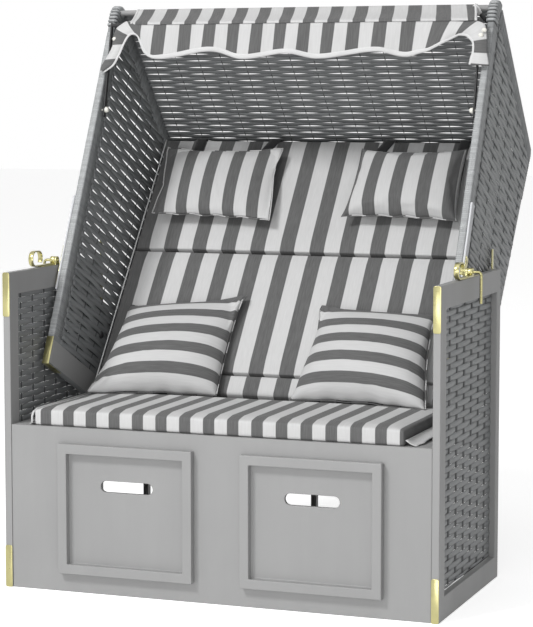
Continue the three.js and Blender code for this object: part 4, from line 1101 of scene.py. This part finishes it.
def makePillows():
    for hand, side in hands:
        settings = {**pillows, **throwPillows, **throwPillows[hand]}
        corners = settings["corners"]
        parts = makePillow(f"pillow_{hand}", corners, settings, "lower_box", f"throw_pillow_{hand}")
        for soft in parts:
            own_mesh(soft)
        settings = {**pillows, **neckPillows, **neckPillows[hand]}
        corners = [backPoint(x, along, settings["seamOut"]) for x, along in settings["corners"]]
        makePillow(f"head_pillow_{hand}", corners, settings, "hood", f"neck_pillow_{hand}")


makePillows()
print("pillows are filled")


# Canopy
canopy = {
    "barDepth": 0.0195, "barHeight": 1.071, "barRadius": 0.008, "bowDepth": -0.0325, "bowHeight": 1.005,
    "bowRadius": 0.006, "lift": 0.0016, "thick": 0.0012, "period": 0.0724, "darkFrom": 0.0, "darkShare": 0.5,
    "roofAtBar": (-0.490, 0.506), "roofAtBow": (-0.477, 0.529), "roofSteps": 120, "fold": 0.004,
    "slant": 0.10, "columnStep": 0.006, "rows": 16, "inner": (0.405, 0.366), "sag": 0.002,
    "ripple": 0.001, "foldPitch": 0.125, "foldShift": 0.03,
    # from which x on, and over what length, the ends lean back; the stripe length at their start
    "endsFrom": 0.38, "endsOver": 0.09, "armLean": 0.26, "endBelly": 0.006, "endStripe": 0.402,
    "hemHalf": 0.0074, "endHemHalf": 0.0042, "hemChange": (0.205, 0.255), "hemThick": 0.0017,
    "pipingHalf": 0.004, "overBow": 0.0013,
    # the hem's middle part: x and drop of its lowest and highest places
    "hemPlaces": [(-0.395, 0.090), (-0.234, 0.069), (-0.135, 0.091), (-0.010, 0.076), (0.082, 0.091),
                  (0.250, 0.073), (0.335, 0.088), (0.40, 0.078)],
    # how many stripes lie left of x, as the cloth is gathered: constant, x, x squared and x cubed
    "countAtBar": (5.662, 14.254, -0.884, -2.627), "countAtBow": (5.456, 14.264, -0.844, -3.534),
    "countBelow": (5.620, 14.436, -0.672, -5.614),
}
# The cloth's ends beside the arches: stripe length, then x and drop of its upper edge and of its hem, in mm
clothEnds = {
    "left": [
        (-402, -407, 0, -416, 88), (-420, -424, 0, -433, 76), (-438, -444, 0, -445, 46),
        (-456, -466, -4, -450, 32), (-474, -491, -13, -460, 24), (-492, -511, 0, -472, 23),
        (-510, -522, 8, -482, 28), (-530, -529, 32, -490, 41), (-547, -527, 58, -496, 54),
        (-565, -536, 78, -503, 75), (-583, -547, 98, -511, 94), (-600, -556, 113, -519, 112),
        (-622, -559, 130, -551, 133)],
    "right": [
        (365, 368, 0, 354, 84), (402, 419, 0, 399, 76), (430, 457, 0, 430, 61), (452, 480, 1, 455, 49),
        (467, 494, 2, 474, 40), (485, 517, 2, 481, 36), (503, 531, 0, 487, 35), (521, 556, 8, 507, 37),
        (539, 563, 50, 525, 54), (557, 564, 68, 528, 67), (575, 566, 87, 528, 85), (593, 570, 102, 524, 98),
        (619, 574, 122, 521, 118)],
}


def polynomial(name, x):
    return sum(part * x ** power for power, part in enumerate(canopy[name]))


def arc(middle, radius, first, last, count):
    turns = np.radians(np.linspace(first, last, count))
    return middle + radius * np.stack((np.cos(turns), np.sin(turns)), -1)


def makeCanopyRoof():
    # From over the front bar down to the bow, with a little sag between them
    bar = np.array((canopy["barDepth"], canopy["barHeight"]))
    bow = np.array((canopy["bowDepth"], canopy["bowHeight"]))
    over = arc(bar, canopy["barRadius"] + canopy["lift"], 60, 142, 7)
    end = arc(bow, canopy["bowRadius"] + canopy["lift"] + canopy["overBow"], 142, 202, 5)
    run = np.linspace(0, 1, 10)[1:-1, None]
    down = over[-1] * (1 - run) + end[0] * run + np.sin(run * math.pi) * (canopy["sag"], -canopy["sag"])
    depth, height = np.vstack((over, down, end)).T[..., None]
    share = np.clip((bar[1] + 0.006 - height) / (bar[1] - bow[1] + 0.006), 0, 1)
    low, high = (a * (1 - share) + b * share for a, b in zip(canopy["roofAtBar"], canopy["roofAtBow"]))
    x = low + (high - low) * np.linspace(0, 1, canopy["roofSteps"])
    ripple = canopy["ripple"] * np.sin(x * 43 + 2 * share) * np.sin(share * math.pi)
    grid = hoodPoint(x, depth, height + ripple)
    counts = polynomial("countAtBar", x) * (1 - share) + polynomial("countAtBow", x) * share
    sheet = sheetMesh(grid, stripe=counts * canopy["period"])
    finish = stripedFinish("canopy roof canvas", canopy)
    piece = thickened("canopy_top", sheet, finish, canopy["thick"])
    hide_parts("canopy_roof")
    vertices, faces = [], []
    for column in (0, -1):
        edge = tubeMesh(grid[:, column], canopy["pipingHalf"], squash=0.5, across=(1, 0, 0))
        faces += [np.array(face) + len(vertices) for face in edge[1]]
        vertices += list(edge[0])
    piping = placed("canopy_top_piping", meshOf(vertices, faces), finishes["piping"])
    for part in (piece, piping):
        tuple(hoodPoint(0.0, *bar))
        tuple(hoodPoint(0.0, *bow))
        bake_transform(part)


def hemDrop(x):
    # from one place of the hem to the next in even waves
    places = np.array(canopy["hemPlaces"])
    number = np.interp(x, places[:, 0], np.arange(len(places)))
    first = np.minimum(number.astype(int), len(places) - 2)
    share = (1 - np.cos(math.pi * (number - first))) / 2
    return places[first, 1] * (1 - share) + places[first + 1, 1] * share


def clothColumns():
    # Columns of the valance from end to end: stripe length, then the upper edge and the hem as x and drop
    step, slant = canopy["columnStep"], canopy["slant"]
    inner = np.arange(-canopy["inner"][0], canopy["inner"][1], step)
    drop = hemDrop(inner - slant * 0.08)
    count = polynomial("countBelow", inner) * canopy["period"]
    parts = [np.stack((count, inner, 0 * inner, inner - slant * drop, drop), -1)]
    for hand, side in hands:
        keys = np.array(clothEnds[hand], float) / 1000
        keys[:, 0] += canopy["endStripe"]
        length = np.abs(keys[:, 0] - keys[0, 0])
        samples = np.linspace(0, length[-1], int(length[-1] / (step * 0.6)) + 1)[1:]
        ends = np.stack([np.interp(samples, length, column) for column in keys.T], -1)
        parts = [ends[::-1]] + parts if side < 0 else parts + [ends]
    columns = np.vstack(parts)
    padded = np.vstack([columns[:1]] * 2 + [columns] + [columns[-1:]] * 2)
    return [np.convolve(column, (0.12, 0.23, 0.3, 0.23, 0.12), "valid") for column in padded.T]


def makeValance():
    stripe, topX, topDrop, hemX, hemFall = clothColumns()
    bow = hoodPoint(0.0, canopy["bowDepth"], canopy["bowHeight"])
    share = np.linspace(0, 1, canopy["rows"] + 1)[:, None]
    x = topX + (hemX - topX) * share
    drop = topDrop + (hemFall - topDrop) * share
    inside = np.clip(1 - (np.abs(topX) - canopy["endsFrom"]) / canopy["endsOver"], 0, 1)
    wave = np.sin(2 * math.pi * (x + canopy["foldShift"]) / canopy["foldPitch"])
    front = canopy["bowRadius"] + canopy["lift"]
    y = bow[1] - front - canopy["fold"] * share * inside * (1 + wave)
    y = y - (canopy["armLean"] * drop + canopy["endBelly"] * np.sin(share * math.pi)) * (1 - inside)
    grid = np.stack(np.broadcast_arrays(x, y, bow[2] - drop), -1)
    finish = stripedFinish("canopy valance canvas", canopy)
    piece = thickened("canopy_front", sheetMesh(grid, stripe=stripe), finish, canopy["thick"])
    # the hem is wide along the middle and narrow round the arches
    fromEnd = np.minimum(stripe - stripe[0], stripe[-1] - stripe)
    half = np.interp(fromEnd, canopy["hemChange"], (canopy["endHemHalf"], canopy["hemHalf"]))
    band = tubeMesh(grid[-1], canopy["hemThick"], 8, squash=half / canopy["hemThick"], across=(0, 1, 0))
    hem = placed("canopy_hem", meshOf(*band), finishes["piping"])
    settled(piece, "canopy", "striped_fabric", "canopy_valance")
    settled(hem, "canopy", "striped_fabric")


# Toggles at the bow's ends, and the strap that ties the roof cloth to the right tip
ties = {
    "toggles": [(-0.523, 0.044, 1.4655), (0.547, 0.040, 1.4655), (0.5555, 0.040, 1.4790)],
    "size": (0.0075, 0.0045, 0.0062), "rings": 7, "blunt": 0.02, "strapHalf": 0.0065, "strapThick": 0.0012,
    "pale": [(0.503, 0.1275, 1.5500), (0.514, 0.1270, 1.5385), (0.5225, 0.1260, 1.5235)],
    "dark": [(0.522, 0.1255, 1.5245), (0.531, 0.1250, 1.5150), (0.5415, 0.1260, 1.5050)],
}


def makeTies():
    wide, deep, high = ties["size"]
    turns = np.radians(np.linspace(-90, 90, ties["rings"]))
    for number, place in enumerate(ties["toggles"], 1):
        path = np.array(place) + np.outer(np.sin(turns), (0, 0, high))
        radii = np.cos(turns) * (1 - ties["blunt"]) + ties["blunt"]
        vertices, faces = tubeMesh(path, radii, 10, across=(1, 0, 0))
        points = np.array(place) + (vertices - place) * (wide, deep, 1)
        added(f"canopy_toggle_{number}", (points, faces), "cream", "canopy", "cream_plastic")
    for name, finish in (("pale", "piping"), ("dark", "strap")):
        squash = ties["strapThick"] / ties["strapHalf"]
        strap = tubeMesh(ties[name], ties["strapHalf"], 8, squash=squash, across=(0.8, 0, 0.6))
        added(f"canopy_tie_{name}", strap, finish, "hood", "striped_fabric")


makeCanopyRoof()
makeValance()
makeTies()
print("canopy is hung")


# Boards, brass and steel from the model
edging = {
    "boardRound": 0.0022, "metalRound": 0.0005, "angle": math.radians(32), "merge": 0.00002,
    "flat": math.radians(0.5), "segments": 2, "smoothBoards": ("hood_front_bar", "hood_rear_bar"),
}
# a star stands for left and for right
nodeFinishes = {
    "paint": ["front_panel", "seat_board", "rear_frame", "hood_front_bar", "hood_rear_bar",
              "hood_bottom_rail", "backrest_board", "side_frame_*", "drawer_front_*", "drawer_box_*",
              "runner_left_of_*_drawer", "runner_right_of_*_drawer"],
    "rack": ["rack_strip_*"],
    "brass": ["post_brass_top_*", "post_brass_foot_*", "guide_strap_*", "latch_base_*", "latch_lever_*",
              "latch_rod_*", "rack_plate_*", "hood_corner_*"],
    "steel": ["canopy_bow", "pivot_plate_*", "pivot_pin_*"],
    "cream": ["canopy_knob_*"],
}


def dressNode(name, finish):
    node = cadNodes[name]
    node.data.materials.clear()
    node.data.materials.append(finishes[finish])
    metal = finish in ("brass", "steel", "cream")
    smooth = metal or name in edging["smoothBoards"]
    node.data.polygons.foreach_set("use_smooth", [smooth] * len(node.data.polygons))
    weld = node.modifiers.new("weld", "WELD")
    weld.merge_threshold = edging["merge"]
    if not smooth:
        flatten = node.modifiers.new("flatten", "DECIMATE")
        flatten.decimate_type, flatten.angle_limit = "DISSOLVE", edging["flat"]
    soften = node.modifiers.new("soften", "BEVEL")
    soften.width = edging["metalRound"] if metal else edging["boardRound"]
    soften.segments, soften.limit_method, soften.angle_limit = edging["segments"], "ANGLE", edging["angle"]
    soften.harden_normals = smooth


for finish, names in nodeFinishes.items():
    for name in names:
        for each in sorted({name.replace("*", hand) for hand, side in hands}):
            dressNode(each, finish)
print("boards, brass and steel are dressed")


# Studio
studio = {
    "floorSize": 60.0,
    "floorTone": (0.8, 0.8, 0.8),
    "floorRough": 0.9,
    "floorGlow": 0.66,
    "sky": 0.28,
    "lamps": [  # place, aim, side length, power
        ((-2.4, -4.6, 5.4), (0, 0, 0.8), 1.3, 285),
        ((1.6, -5.6, 1.5), (-0.2, 0.2, 1.1), 3.0, 75),
        ((-0.4, -5.0, 0.7), (0, 0.2, 1.2), 1.6, 38),
        ((0.6, -1.5, 6.0), (0, 0, 0.8), 3.5, 40),
    ],
}
white = (1, 1, 1, 1)


def seenDirectly(tree):
    # 1 for camera, mirror and glass rays
    path = tree.nodes.new("ShaderNodeLightPath")
    rays = ("Is Camera Ray", "Is Glossy Ray", "Is Transmission Ray")
    camera, glossy, glass = (Signal(tree, path.outputs[ray]) for ray in rays)
    return camera.math("MAXIMUM", glossy).math("MAXIMUM", glass)


def makeFloor():
    reach = studio["floorSize"] / 2
    corners = [(-reach, -reach, 0), (reach, -reach, 0), (reach, reach, 0), (-reach, reach, 0)]
    floor = Finish("studio floor", Base_Color=(*studio["floorTone"], 1), Roughness=studio["floorRough"])
    strength = seenDirectly(floor.tree) * studio["floorGlow"]
    glow = floor.node("ShaderNodeEmission", Color=white, Strength=strength)
    both = floor.node("ShaderNodeAddShader", i0=Signal(floor.tree, floor.shader.outputs[0]), i1=glow)
    output = next(n for n in floor.tree.nodes if n.type == "OUTPUT_MATERIAL")
    floor.tree.links.new(both.socket, output.inputs[0])
    placed("floor", meshOf(corners, [(0, 1, 2, 3)]), floor.material)


def makeSky():
    world = bpy.data.worlds.new("studio")
    bpy.context.scene.world = world
    world.use_nodes = True
    back = next(n for n in world.node_tree.nodes if n.type == "BACKGROUND")
    back.inputs[0].default_value = white
    strength = seenDirectly(world.node_tree) * (1.0 - studio["sky"]) + studio["sky"]
    world.node_tree.links.new(strength.socket, back.inputs[1])


def makeLamps():
    for place, aim, size, power in studio["lamps"]:
        lamp = bpy.data.lights.new("softbox", "AREA")
        lamp.shape, lamp.size, lamp.energy = "SQUARE", size, power
        aimed(linked("softbox", lamp), place, Vector(aim) - Vector(place))


makeFloor()
makeSky()
makeLamps()
bpy.context.scene.view_settings.view_transform = "Standard"
print("studio is lit")
